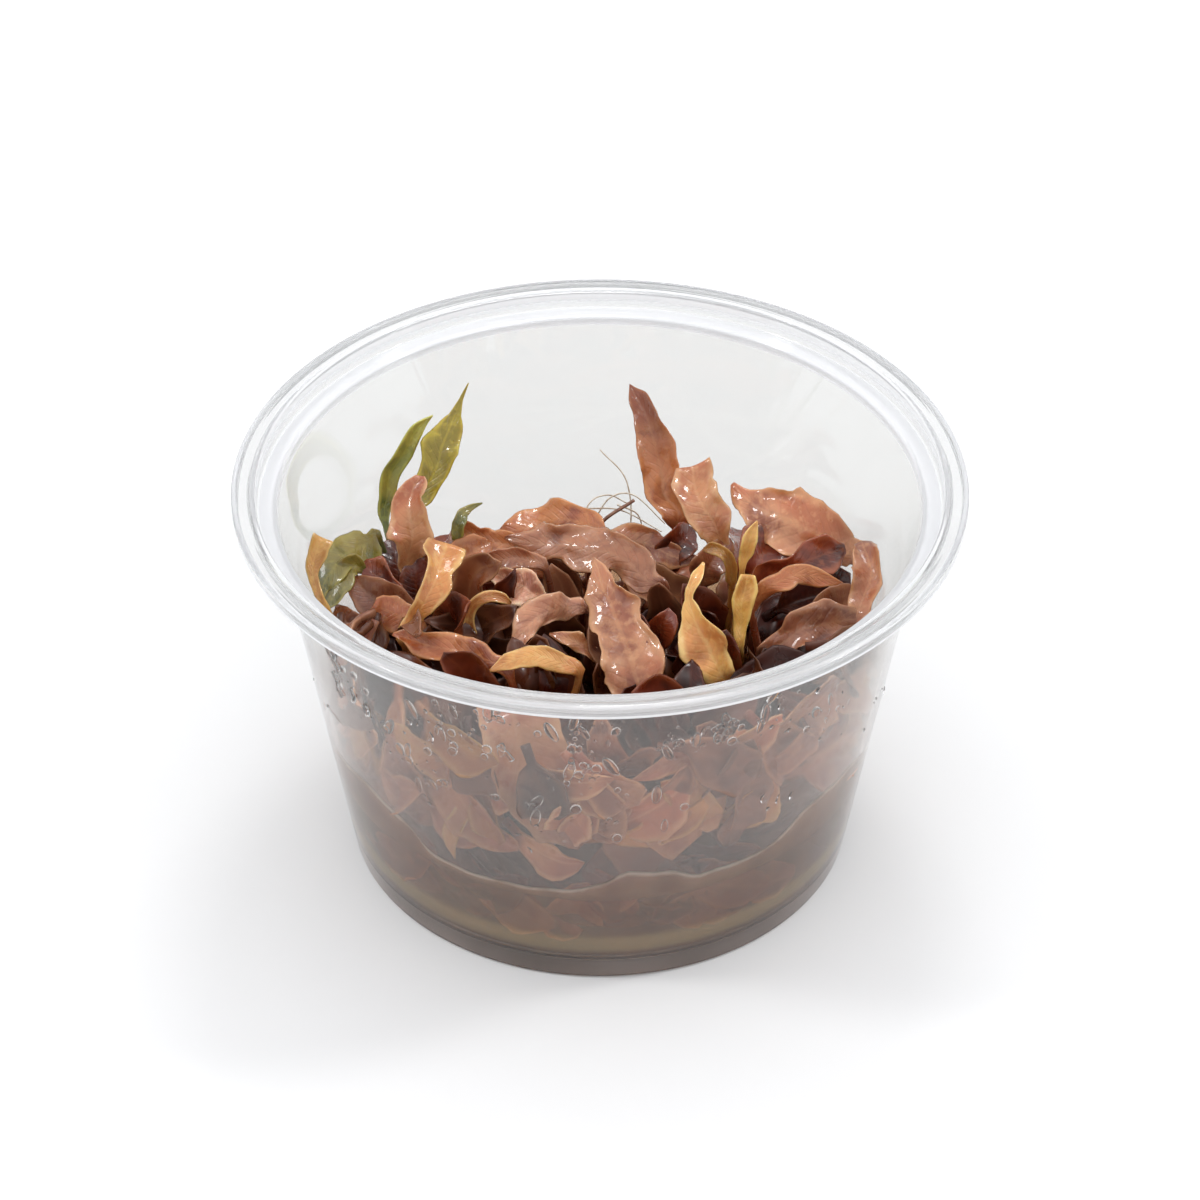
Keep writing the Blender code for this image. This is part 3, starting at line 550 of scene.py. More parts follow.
def leaf_ring(facts, centre, place, columns, phase):
    """A leaf's cross-section: its corners, each with its share across and 1.0 if underneath."""
    s, t, sideways, normal, share, narrow = place
    stalk = 1 - smooth_step(0.0, 0.3, t)
    thick = BLADE_THICKNESS + (PETIOLE_THICKNESS - BLADE_THICKNESS) * stalk * (1 - 0.4 * s)
    left = half_section(facts, centre, place, -1, columns, phase)
    right = half_section(facts, centre, place, 1, columns, phase)
    rib_bend = (left[0][0] + right[0][0]) / 2
    section = left[::-1] + [(rib_bend, normal, 0.0, left[-1][3])] + right
    signed = [-1] * columns + [0] + [1] * columns
    upper, lower = [], []
    for (offset, rise, v, half), side in zip(section, signed):
        round_off = math.sqrt(max(0.0, 1 - v ** (6 - 4 * stalk)))
        rib = RIB_HEIGHT * (1 - t) * math.exp(-((v * half / RIB_WIDTH) ** 2)) * (1 - stalk)
        top = thick / 2 * round_off - RIB_SINK * rib
        bottom = thick / 2 * round_off + rib
        upper.append((centre + offset + rise * top, v * side, 0.0))
        lower.append((centre + offset - rise * bottom, v * side, 1.0))
    return upper + lower[-2:0:-1]


def leaf_mesh(name, facts, move, phase):
    """A leaf as one closed surface: a round petiole that widens into a thin ribbed blade."""
    fewest, most = COLUMNS
    columns = round(facts["width"] / 2 / COLUMN_SPACING / facts["coarseness"])
    columns = min(most, max(fewest, columns))
    rings = []
    marks = {"blade": [], "across": [], "under": [], "shade": []}
    for centre, place in zip(*leaf_rows(facts, move)):
        s, t = place[:2]
        ring = leaf_ring(facts, centre, place, columns, phase)
        rings.append([corner for corner, across, under in ring])
        marks["blade"].append([t if t > 0 else s / facts["petiole"] - 1] * len(ring))
        marks["across"].append([across for corner, across, under in ring])
        marks["under"].append([under for corner, across, under in ring])
        fade = 1 + (facts["tip_shade"] - 1) * smooth_step(0.3, 0.8, t)
        marks["shade"].append([facts["shade"] * fade] * len(ring))
    return rings_mesh(name, rings, marks)


def add_small_leaves(name, leaves, start, step, surface, tint, *nodes):
    """Adds leaves as one piece, with a pattern that differs from leaf to leaf."""
    meshes = []
    for index, facts in enumerate(leaves):
        meshes.append(leaf_mesh("small leaf", facts, Vector(), index * step + start))
    add_piece(name, join_meshes(name, meshes), surface, "leaf_" + tint, *nodes)


# Points are in millimetres and widths too. The order is the order of settling.
LEAVES = {
    # Left side.
    "green_sickle_leaf": leaf(
        "left",
        [(-31, 20, 36), (-31, 23, 40), (-30.5, 24, 43), (-28.5, 24, 47),
         (-26.5, 24, 51), (-24, 24, 53.5)],
        width=3.3, face=(0.25, -0.9, 0.3), fold=25, ruffle=0.1,
        outline=[(0.1, 0.6), (0.25, 0.9), (0.4, 1), (0.62, 1), (0.84, 0.7), (1, 0.05)],
        tint="green", curl=10, ragged=0.04, ripple=0.3, crumple=0.2, shade=1.9),
    "yellow_green_leaf": leaf(
        "left",
        [(-28.5, 15, 39), (-27.5, 18, 42), (-25.5, 20, 45), (-24.8, 21.5, 47),
         (-24, 23, 48.5), (-23, 25, 50.5), (-22, 26.5, 52.5), (-21, 27.5, 54.5)],
        width=5.8, face=(-0.15, -0.9, 0.4), fold=12, ruffle=0.3,
        outline=[(0.1, 0.5), (0.28, 0.62), (0.4, 0.74), (0.52, 1), (0.64, 0.77),
                 (0.76, 0.31), (0.88, 0.11), (1, 0.03)],
        tint="yellow_green", curl=15, ragged=0.08, crumple=0.5),
    "folded_pink_leaf": leaf(
        "left",
        [(-26, 7, 33), (-26.5, 8, 38.5), (-26, 9, 41.5), (-26, 10, 44.5),
         (-25.5, 12, 46.5), (-24.5, 14, 48.5)],
        width=7.6, face=(0.25, -0.9, 0.3), turn=(-0.3, -0.9, 0.4), fold=25, ruffle=0.5,
        outline=[(0.1, 0.3), (0.35, 0.5), (0.53, 0.88), (0.7, 1), (0.85, 0.67), (1, 0.17)],
        tint="pink", curl=40, ragged=0.15, crumple=1.3),
    "ragged_green_leaf": leaf(
        "left", [(-30, 11, 39), (-32, 9, 41.5), (-34.5, 5, 42), (-36.5, 0, 42.5), (-37.8, -4.5, 42)],
        width=5.7, face=(0.1, -0.75, 0.65), turn=(0.3, -0.6, 0.7), fold=-12, ruffle=0.5, waves=2,
        outline=[(0.1, 0.35), (0.25, 0.95), (0.5, 1), (0.75, 0.74), (1, 0.25)],
        tint="green", curl=15, ragged=0.3, crumple=0.8),
    "ochre_leaf": leaf(
        "left", [(-37, -3, 37), (-39.5, -1, 42), (-39.5, 2, 44.5), (-38.5, 4, 46)],
        width=3.1, face=(0.2, -0.9, 0.4), fold=10, ruffle=0.2,
        outline=[(0.1, 0.3), (0.55, 0.4), (0.75, 0.9), (1, 1)],
        tint="ochre", ragged=0.3, crumple=0.5),
    "dark_red_left_leaf": leaf(
        "left", [(-27.5, 0, 33), (-30, 2, 37), (-32, 4, 39), (-34.5, 6.5, 40)],
        width=6.6, face=(0.1, -0.8, 0.6), fold=15, ruffle=0.5,
        outline=[(0.1, 0.6), (0.5, 1), (0.8, 0.8), (1, 0.25)],
        tint="dark", crumple=1.0),
    "orange_brown_leaf": leaf(
        "left", [(-24, -6, 34), (-27, -4.5, 38), (-30, -3, 39), (-31.5, -3, 40)],
        width=5.0, face=(0.1, -0.8, 0.6), fold=-12, ruffle=0.4,
        outline=[(0.1, 0.5), (0.5, 0.94), (0.8, 1), (1, 0.37)],
        tint="orange", crumple=0.7),
    "peach_leaf": leaf(
        "left",
        [(-26, -9, 37), (-24.5, -8, 41.5), (-23, -7, 44.5), (-21.5, -4, 46),
         (-21, -1, 46.7), (-20.5, 1, 47.7)],
        width=5.4, face=(0.1, -0.85, 0.5), fold=8, ruffle=0.3, waves=1.5,
        outline=[(0.1, 0.45), (0.33, 0.55), (0.52, 0.65), (0.72, 0.84), (0.88, 1), (1, 0.8)],
        tint="tan", curl=15, ragged=0.3, ripple=1.5, crumple=0.7),
    "dark_tip_leaf": leaf(
        "left", [(-22.5, 11, 38), (-22, 12, 41), (-21, 14, 41.5), (-19, 15, 42)],
        width=2.8, face=(0, -0.8, 0.6), fold=20, ruffle=0.2,
        outline=[(0.1, 0.8), (0.45, 0.78), (0.75, 0.39), (1, 0.07)],
        tint="green", crumple=0.3),
    # Middle.
    "arched_leaf": leaf(
        "middle",
        [(1, 10, 38), (-1.5, 12, 42), (-4, 13, 43), (-7.5, 14, 42),
         (-11, 15, 40), (-14.5, 15.5, 38)],
        width=5.6, face=(0.1, -0.75, 0.65), turn=(-0.2, -0.7, 0.7), fold=-15, ruffle=0.4,
        outline=[(0.1, 0.5), (0.25, 0.95), (0.5, 1), (0.75, 0.9), (1, 0.27)],
        tint="orange", curl=15, crumple=0.9),
    "orange_back_leaf": leaf(
        "middle", [(-7, 11, 34), (-11, 13, 38), (-15, 14, 38.5), (-18.5, 15, 38.8), (-21, 16, 37.5)],
        width=5.0, face=(0, -0.75, 0.65), fold=12, ruffle=0.6,
        outline=[(0.1, 0.67), (0.4, 1), (0.65, 0.93), (0.85, 0.74), (1, 0.2)],
        tint="orange", crumple=1.0),
    "grey_band_leaf": leaf(
        "middle", [(-7.5, 7, 38), (-10.5, 8, 39.5), (-14.5, 8, 39.5), (-17.5, 9, 38)],
        width=3.4, face=(0, -0.7, 0.7), fold=12, ruffle=0.3,
        outline=[(0.1, 0.6), (0.4, 1), (0.7, 0.91), (1, 0.27)],
        tint="mauve", crumple=0.6),
    # The grey pink leaf's shade of 2.4 and the curled pink leaf's 1.4 paint light on leaves that lie in
    # shade.
    "grey_pink_leaf": leaf(
        "middle", [(-6, 2, 34), (-10, 2, 38.5), (-13, 4, 38.8), (-15.5, 5.5, 39.5)],
        width=5.0, face=(-0.1, -0.75, 0.65), fold=10, ruffle=0.4,
        outline=[(0.1, 0.5), (0.55, 1), (0.82, 0.94), (1, 0.31)],
        tint="mauve", crumple=0.9, shade=2.4),
    "hooked_tan_leaf": leaf(
        "middle",
        [(-16, -5, 32), (-18.5, -4, 37), (-18, -3, 40), (-16, -2.5, 41.5),
         (-14, -2, 41), (-12.5, -2, 40)],
        width=2.2, face=(0.2, -0.8, 0.6), fold=15, ruffle=0.15,
        outline=[(0.1, 0.8), (0.4, 1), (0.6, 0.95), (0.75, 0.95), (0.9, 0.8), (1, 0.25)],
        tint="tan", curl=30, ragged=0.05, crumple=0.2),
    "curled_pink_leaf": leaf(
        "middle",
        [(-1.5, -3, 38.5), (-4.5, -4, 40.5), (-8, -6, 40.5), (-10.5, -8, 39.5),
         (-11.2, -10, 37.5)],
        width=5.2, face=(0, -0.75, 0.65), turn=(-0.3, -0.75, 0.55), fold=-15, ruffle=0.5,
        outline=[(0.1, 0.5), (0.3, 0.8), (0.58, 1), (0.82, 0.76), (1, 0.18)],
        tint="mauve", crumple=1.0, shade=1.4),
    "wavy_pink_leaf": leaf(
        "middle", [(1, -11, 35), (-2.5, -11, 39), (-5, -10, 40), (-7.3, -9, 40)],
        width=3.2, face=(0, -0.6, 0.8), fold=15, ruffle=0.7, waves=3,
        outline=[(0.1, 0.5), (0.6, 1), (0.82, 0.7), (1, 0.1)],
        tint="pink", crumple=0.8),
    "mauve_leaf": leaf(
        "middle",
        [(9, 4, 36), (6, 5, 39.2), (2, 7, 41.2), (-3, 9, 41.2), (-8, 11, 40.5),
         (-13.5, 13, 39.8)],
        width=6.6, face=(0, -0.75, 0.65), turn=(-0.1, -0.7, 0.7), fold=-14, ruffle=0.6, waves=3,
        outline=[(0.1, 0.5), (0.2, 0.85), (0.38, 1), (0.58, 1), (0.8, 0.8), (1, 0.06)],
        tint="mauve", ragged=0.2, ripple=1.8, crumple=1.1),
    "tan_pink_leaf": leaf(
        "middle", [(-0.5, 12, 37.5), (3.5, 12, 39.5), (7.5, 12, 39), (11.5, 11, 38), (15, 11, 37.3)],
        width=5.6, face=(0.1, -0.75, 0.65), fold=-12, ruffle=0.6, waves=3,
        outline=[(0.1, 0.5), (0.3, 0.9), (0.55, 1), (0.8, 0.6), (1, 0.06)],
        ripple=1.6, crumple=1.0),
    "tall_brown_leaf": leaf(
        "middle",
        [(10.5, 14.5, 37), (9, 17, 42.5), (8.5, 19, 45.5), (7.5, 20.5, 48.5),
         (6.5, 23, 51), (5, 26, 52.7), (4, 28, 53.7)],
        width=6.2, face=(-0.1, -0.9, 0.4), fold=22, ruffle=0.3,
        outline=[(0.1, 0.95), (0.33, 0.95), (0.47, 1), (0.61, 0.92), (0.75, 0.79), (0.9, 0.42), (1, 0.03)],
        tint="orange", curl=35, crumple=0.7, shade=0.95, tip_shade=0.5),
    # Right side.
    "light_pink_leaf": leaf(
        "right", [(18.5, 8, 38), (17, 9, 42.5), (15, 10, 46), (14, 13, 47.7), (13, 15.5, 49.5)],
        width=6.8, face=(-0.1, -0.85, 0.5), turn=(0.1, -0.8, 0.6), fold=12, ruffle=0.5, waves=3,
        outline=[(0.1, 0.2), (0.32, 0.6), (0.57, 0.91), (0.82, 1), (1, 0.7)],
        tint="pink", curl=10, ragged=0.2, ripple=1.8, crumple=0.9),
    "big_curling_leaf": leaf(
        "right",
        [(37, 7, 37), (34, 8, 41.5), (30, 8, 44.5), (26, 9, 46), (22, 12, 46.3),
         (19, 15.5, 47.7)],
        width=9.0, face=(0.05, -0.8, 0.6), turn=(0, -0.75, 0.65), fold=-16, ruffle=0.7,
        outline=[(0.1, 0.5), (0.27, 0.8), (0.45, 0.93), (0.62, 1), (0.82, 0.75), (1, 0.08)],
        curl=30, ragged=0.18, ripple=1.8, crumple=1.2, shade=1.15),
    "yellow_leaf": leaf(
        "right", [(19.5, -2, 42), (20, -1.5, 45), (20.5, -1, 47.5), (21.5, 0, 49.7)],
        width=2.6, face=(0.1, -0.9, 0.4), fold=22, ruffle=0.1,
        outline=[(0.15, 0.4), (0.45, 0.87), (0.7, 1), (1, 0.08)],
        tint="ochre", ragged=0.04, ripple=0.4, crumple=0.2, shade=1.1),
    "olive_arc_leaf": leaf(
        "right", [(18.5, -1, 40), (18, -1, 44.5), (16.5, -1, 46.5), (14.5, 1, 45)],
        width=2.2, face=(0, -0.7, 0.7), fold=20, ruffle=0.1,
        outline=[(0.1, 0.73), (0.5, 1), (0.75, 0.9), (1, 0.27)],
        tint="ochre", crumple=0.2, shade=0.62),
    "twisted_tan_leaf": leaf(
        "right",
        [(17.5, -14, 33.5), (15, -13, 39.5), (13.5, -11, 42.5), (12.5, -9, 45),
         (13, -8, 47), (14.5, -6, 48.7)],
        width=6.8, face=(0.1, -0.85, 0.5), turn=(-0.5, -0.8, 0.4), fold=12, ruffle=0.4,
        outline=[(0.1, 0.6), (0.38, 1), (0.56, 0.58), (0.7, 0.2), (0.84, 0.36), (1, 0.06)],
        tint="tan", ragged=0.25, crumple=0.9, shade=1.35),
    "ochre_spoon_leaf": leaf(
        "right", [(19.5, -9, 36), (19.5, -8, 40.5), (19.5, -7, 43.5), (20, -6.3, 45.2), (20.2, -6, 47.2)],
        width=3.8, face=(0, -0.9, 0.4), fold=20, ruffle=0.1,
        outline=[(0.1, 0.42), (0.4, 0.58), (0.67, 0.92), (0.84, 1), (1, 0.6)],
        tint="ochre", ragged=0.06, crumple=0.3, shade=1.3),
    "ribbed_dark_leaf": leaf(
        "right", [(19.5, 1.5, 35.5), (23.5, 2, 40), (28, 3, 42.7), (32.5, 4, 43.7), (35.5, 5, 44)],
        width=5.4, face=(0.1, -0.8, 0.6), fold=15, ruffle=0.5,
        outline=[(0.1, 0.5), (0.38, 0.94), (0.62, 1), (0.85, 0.87), (1, 0.25)],
        tint="dark", ragged=0.15, crumple=1.0),
    "orange_arc_leaf": leaf(
        "right", [(21.5, -1, 36), (23, -1, 41), (26.5, 0, 42.7), (30.5, 1, 41.7), (34, 1, 40.5)],
        width=3.0, face=(0, -0.8, 0.6), fold=-20, ruffle=0.3,
        outline=[(0.1, 0.8), (0.35, 1), (0.58, 1), (0.8, 0.83), (1, 0.18)],
        tint="orange", crumple=0.6),
    "dark_mauve_leaf": leaf(
        "right", [(20, -8, 34), (25, -8, 39), (29.5, -7, 40), (34.5, -6, 40)],
        width=6.4, face=(0, -0.75, 0.65), fold=12, ruffle=0.5,
        outline=[(0.1, 0.43), (0.45, 0.95), (0.72, 1), (1, 0.24)],
        tint="mauve", crumple=1.0),
    "right_wall_leaf": leaf(
        "right", [(34, -6, 37), (36.5, -3, 41), (37.3, 0, 43), (36.3, 5, 44.3)],
        width=5.2, face=(-0.3, -0.8, 0.5), turn=(-0.1, -0.8, 0.6), fold=18, ruffle=0.5,
        outline=[(0.1, 0.53), (0.45, 0.9), (0.7, 1), (1, 0.5)],
        curl=40, crumple=0.8),
    # Front, seen through the wall.
    "front_left_rim_leaf": leaf(
        "front_left",
        [(-12, -18, 38), (-16, -16, 41), (-20, -14, 40.7), (-24.5, -13, 40.7),
         (-28.5, -12, 41.7)],
        width=4.8, face=(0, -0.65, 0.75), fold=12, ruffle=0.5,
        outline=[(0.1, 0.5), (0.33, 0.86), (0.58, 1), (0.8, 0.73), (1, 0.1)],
        tint="orange", ripple=1.5, crumple=0.9),
    "tan_arc_leaf": leaf(
        "front_left",
        [(-3, -17, 37.5), (-5.5, -17, 41), (-9, -17, 42.2), (-12.5, -18, 41.7), (-15, -19, 41)],
        width=3.4, face=(0, -0.55, 0.85), fold=-12, ruffle=0.3,
        outline=[(0.1, 0.56), (0.35, 0.89), (0.6, 1), (0.84, 0.78), (1, 0.15)],
        tint="tan", curl=35, crumple=0.4),
    "pale_wedge_leaf": leaf(
        "front_left", [(-12, -25, 37), (-12, -29, 43), (-10, -33, 38), (-6, -35.5, 31), (-3, -36, 24)],
        width=12.0, face=(0, 0.2, 1), turn=(0, -1, 0.1), fold=12, ruffle=0.6, widest=0.55, petiole=0.3,
        tint="pink"),
    "pink_brown_leaf": leaf(
        "front_left", [(-20, -25, 20), (-24, -26.5, 23), (-27.5, -25, 28), (-30, -22, 33)],
        width=7.5, face=(-0.6, -0.8, 0.2), fold=10, ruffle=0.5, petiole=0.3),
    "yellow_strip_leaf": leaf(
        "left", [(-28, -21, 24), (-30, -22, 29), (-32, -20, 33), (-34, -17, 38)],
        width=4.0, face=(-0.8, -0.6, 0.2), fold=15, ruffle=0.3, petiole=0.5,
        tint="ochre"),
    "yellow_tip_leaf": leaf(
        "front_left", [(-15, -27, 27), (-18, -30, 25.5), (-19.5, -31, 22), (-19.5, -31.5, 18)],
        width=3.2, face=(-0.5, -0.8, 0.3), fold=15, ruffle=0.2, petiole=0.45,
        tint="ochre"),
    "peach_patch_leaf": leaf(
        "front_left", [(-14, -27, 31), (-18, -30, 33.5), (-23, -29, 36), (-27, -26, 38)],
        width=6.0, face=(-0.4, -0.9, 0.2), fold=10, ruffle=0.4,
        tint="tan"),
    "front_centre_leaf": leaf(
        "front_right",
        [(7.5, -22, 31), (5.5, -20, 38.5), (4, -16, 41.7), (2.5, -11, 43.5),
         (0.5, -6, 45.7), (-1, -1, 46.7)],
        width=8.8, face=(0.1, -0.85, 0.5), turn=(-0.1, -0.8, 0.6), fold=-10, ruffle=0.4,
        outline=[(0.1, 0.5), (0.35, 0.95), (0.5, 1), (0.68, 0.8), (0.85, 0.5), (1, 0.06)],
        ragged=0.2, ripple=1.4, crumple=1.1),
    "light_pink_wall_leaf": leaf(
        "front_right", [(19, -29, 36), (17, -33, 39), (11, -36, 40), (4, -38, 38)],
        width=5.5, face=(0, -0.9, 0.5), fold=10, ruffle=0.3, widest=0.4,
        tint="pink"),
    "tan_wall_leaf": leaf(
        "front_right", [(14, -30, 25), (14, -34, 28), (12, -35, 33), (8, -36, 36)],
        width=6.0, face=(0.2, -1, 0.2), fold=10, ruffle=0.4,
        tint="tan"),
    "mauve_wall_leaf": leaf(
        "front_right", [(16, -31, 19), (17, -32, 24), (19, -32, 30), (21, -31, 35)],
        width=7.0, face=(0.5, -0.9, 0.1), fold=25, ruffle=0.5, petiole=0.3,
        tint="mauve"),
    "orange_wall_leaf": leaf(
        "front_right", [(21, -28, 32), (23, -30, 34), (26, -29, 36), (29, -26, 37)],
        width=4.0, face=(0.4, -0.9, 0.4), fold=10, ruffle=0.2, petiole=0.6,
        tint="orange"),
    "tan_right_wall_leaf": leaf(
        "front_right", [(29, -18, 22), (33.5, -16.5, 26), (36, -14, 31), (38, -10, 37)],
        width=5.0, face=(0.8, -0.6, 0.1), fold=15, ruffle=0.4,
        tint="tan"),
    # Back and sides.
    "back_left_leaf": leaf(
        "left", [(-24, 14, 24), (-24, 21, 29), (-22, 28, 29)],
        width=7.0, face=(0, 0.4, 1), fold=20, ruffle=0.6,
        tint="dark"),
    "back_middle_leaf": leaf(
        "middle", [(-6, 16, 25), (-8, 23, 28), (-8, 31, 25)],
        width=7.0, face=(0, 0.3, 1), fold=20, ruffle=0.6,
        tint="dark"),
    "back_right_leaf": leaf(
        "right", [(22, 12, 26), (22, 20, 31), (19, 28, 30)],
        width=8.0, face=(0.2, 0.4, 1), fold=15, ruffle=0.6,
        tint="dark"),
    "back_low_leaf": leaf(
        "middle", [(6, 16, 23), (9, 24, 25), (10, 32, 23)],
        width=6.0, face=(0, 0.3, 1), fold=20, ruffle=0.4,
        tint="dark"),
    "left_wall_leaf": leaf(
        "left", [(-31, -9, 24), (-34, -11, 30), (-36, -11, 36), (-35, -8, 41)],
        width=6.5, face=(-0.9, -0.5, 0.1), fold=15, ruffle=0.5,
        tint="dark"),
    "centre_wall_leaf": leaf(
        "front_right", [(5, -27, 29), (3, -31, 34), (1, -33, 39), (0, -31, 44)],
        width=6.5, face=(0, -1, 0.1), fold=15, ruffle=0.5,
        tint="mauve"),
    "low_front_leaf": leaf(
        "front_right", [(7, -26, 19), (4, -31, 19.5), (-2, -34, 19)],
        width=6.0, face=(0.2, -0.8, 0.6), fold=10, ruffle=0.4,
        tint="dark"),
}


def basal_leaf(side, chance):
    """The facts of a small leaf that grows on a crown, in a seeded direction."""
    turn = chance.uniform(0, 2 * math.pi)
    rise = chance.uniform(*BASAL_RISE)
    length = chance.uniform(*BASAL_LENGTH)
    level = GEL_LEVEL + chance.uniform(*BASAL_LEVEL) * (CROWN_TOP - GEL_LEVEL)
    outward = polar(turn)
    heading = outward * math.cos(rise) + Vector((0, 0, math.sin(rise)))
    start = crown_point(side, level) + outward * 0.6 * CROWN_RADIUS
    sag = Vector((0, 0, -BASAL_SAG * length))
    face = Vector((-heading.x, -heading.y, 1))
    route = [start, start + heading * length / 2 - sag, start + heading * length + sag]
    return small_leaf(route, chance.uniform(*BASAL_WIDTH), face)


def small_leaf(route, width, face, shade=1.0, crumple=0.8):
    """The facts of a leaf that has no solid of its own, on a route in metres."""
    facts = leaf(
        None, [], 0, face, waves=1.5, widest=0.5, petiole=0.2, curl=20, ragged=0.15,
        crumple=crumple, shade=shade,
    )
    facts.update(route=route, blade=route, width=width, face=face, turn=face, coarseness=1.6)
    return facts


def grown_basal_leaves(side, chance):
    """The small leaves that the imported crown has: those whose tip is a corner of it."""
    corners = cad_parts["crown_" + side].data.vertices
    tree = kdtree.KDTree(len(corners))
    for index, vert in enumerate(corners):
        tree.insert(vert.co, index)
    tree.balance()
    grown = []
    for attempt in range(BASAL_TRIES):
        facts = basal_leaf(side, chance)
        if tree.find(facts["route"][-1])[2] < BASAL_TOLERANCE:
            grown.append(facts)
        if len(grown) == MOST_BASAL:
            break
    return grown


STUMP_ROWS = 33
STUMP_STEPS = 28


def rhizome_mesh(side):
    """The crown's stump: ringed with leaf scars and tapering into the gel."""
    x, y = CROWNS[side]
    height = CROWN_TOP - CROWN_BOTTOM
    rings = []
    for row in range(STUMP_ROWS + 1):
        share = row / STUMP_ROWS
        swell = smooth_step(0.0, 0.35, share) * (1 - 0.75 * smooth_step(0.8, 1.0, share) ** 2)
        ring = []
        for angle in angles_round(STUMP_STEPS):
            ridge = 0.05 * math.sin(share * 40 + math.sin(angle) * 1.5)
            lump = 0.16 * noise.noise(Vector((math.cos(angle) + x, math.sin(angle) + y, share * 5)))
            radius = CROWN_RADIUS * (0.12 + 0.82 * swell) * (1 + ridge + lump)
            ring.append(crown_point(side, CROWN_BOTTOM + share * height) + polar(angle, radius))
        rings.append(ring)
    return rings_mesh("rhizome_" + side, rings)


def add_crowns(crown_surface, leaf_surface):
    chance = random.Random(BASAL_SEED)
    for side in CROWNS:
        add_piece("rhizome_" + side, rhizome_mesh(side), crown_surface, "crown", "crown_" + side)
        leaves = grown_basal_leaves(side, chance)
        for index, facts in enumerate(leaves):
            facts["shade"] = 0.35 + 0.09 * index
        name = "basal_leaves_" + side
        add_small_leaves(name, leaves, 0, 7.7, leaf_surface, "dark", "crown_" + side)


ROOTS = {
    "root_fine_left": [(-4, 8, 18), (-6, 17, 29), (-7, 22, 37.5), (-4, 23, 38), (-2, 23, 36.5)],
    "root_fine_right": [(-3, 8.3, 20), (-4, 19, 30), (-2, 24, 37), (1, 26, 38), (4, 26, 36.5)],
    "root_high": [(-1, 8.5, 18), (4, 22, 31), (4, 26, 40), (0, 29, 44)],
    "root_brown": [(0.3, 8.1, 21), (-2, 17, 32), (0, 20, 37), (5, 22, 40)],
}

# Radii in mm at a root's start and end.
FINE_ROOT = (0.2, 0.09)
BROWN_ROOT = (0.4, 0.25)
LOOSE_ROOT = (0.14, 0.08)

# Root tips that have no solid of their own.
LOOSE_ROOTS = [
    [(-7, 22, 40.4), (-2.8, 22, 38.6), (3, 22.5, 37.8), (9, 21, 35)],
    [(-1, 23.5, 35), (1.5, 24.5, 38.6), (5, 24.5, 39), (9.5, 23, 35)],
    [(2.5, 22.5, 38.8), (5.5, 22.5, 37), (6.5, 22, 33)],
]


def thread_mesh(name, points, start_radius, end_radius, sides=8):
    """A thin round thread along points, which tapers to its end."""
    rings = []
    for row, centre in enumerate(points):
        ahead = points[min(row + 1, len(points) - 1)] - points[max(row - 1, 0)]
        sideways = ahead.orthogonal() if row == 0 else ahead.cross(last_up)
        sideways.normalize()
        up = sideways.cross(ahead).normalized()
        last_up = up
        radius = start_radius + (end_radius - start_radius) * row / (len(points) - 1)
        ring = []
        for angle in angles_round(sides):
            ring.append(centre + (sideways * math.cos(angle) + up * math.sin(angle)) * radius)
        rings.append(ring)
    return rings_mesh(name, rings)


def root_mesh(name, points, start_radius, end_radius):
    """A root along points in mm, with its radii in mm too."""
    route = smooth_route([Vector(point) * MM for point in points], 60)
    return thread_mesh(name, route, start_radius * MM, end_radius * MM)


def add_roots(pale_surface, brown_surface):
    for name, points in ROOTS.items():
        brown = name == "root_brown"
        mesh = root_mesh("thread_" + name, points, *(BROWN_ROOT if brown else FINE_ROOT))
        add_piece("thread_" + name, mesh, brown_surface if brown else pale_surface, "root", name)
    meshes = [root_mesh("loose root", points, *LOOSE_ROOT) for points in LOOSE_ROOTS]
    add_piece("loose_roots", join_meshes("loose_roots", meshes), pale_surface, "root")


# Filler leaves between those that have solids, with lengths in mm. They stand lower towards
# the front and the sides, so that the leaves before them stay in sight.
FILLER_SEED = 11
FILLER_TINTS = {"dark": 46, "mauve": 34, "brown": 26, "orange": 18}
FILLER_LENGTH = (13, 25)
FILLER_WIDTH = (4.5, 9)
FILLER_RISE = (math.radians(20), math.radians(80))
FILLER_START = (18, 27)
FILLER_LOWEST = 19
FILLER_WALL_GAP = 3
FILLER_SHADE = (0.5, 1.1)
SIGHT_SLOPE = 0.77
SIGHT_HEIGHT = 46.0
SIGHT_FALL = 0.35


def sight_height(spot):
    """How high filler may stand at a place in mm, to stay below the leaves in front of it."""
    height = SIGHT_HEIGHT - SIGHT_SLOPE * spot.y - SIGHT_FALL * max(0.0, abs(spot.x + 2) - 23)
    return min(height, SIGHT_HEIGHT)


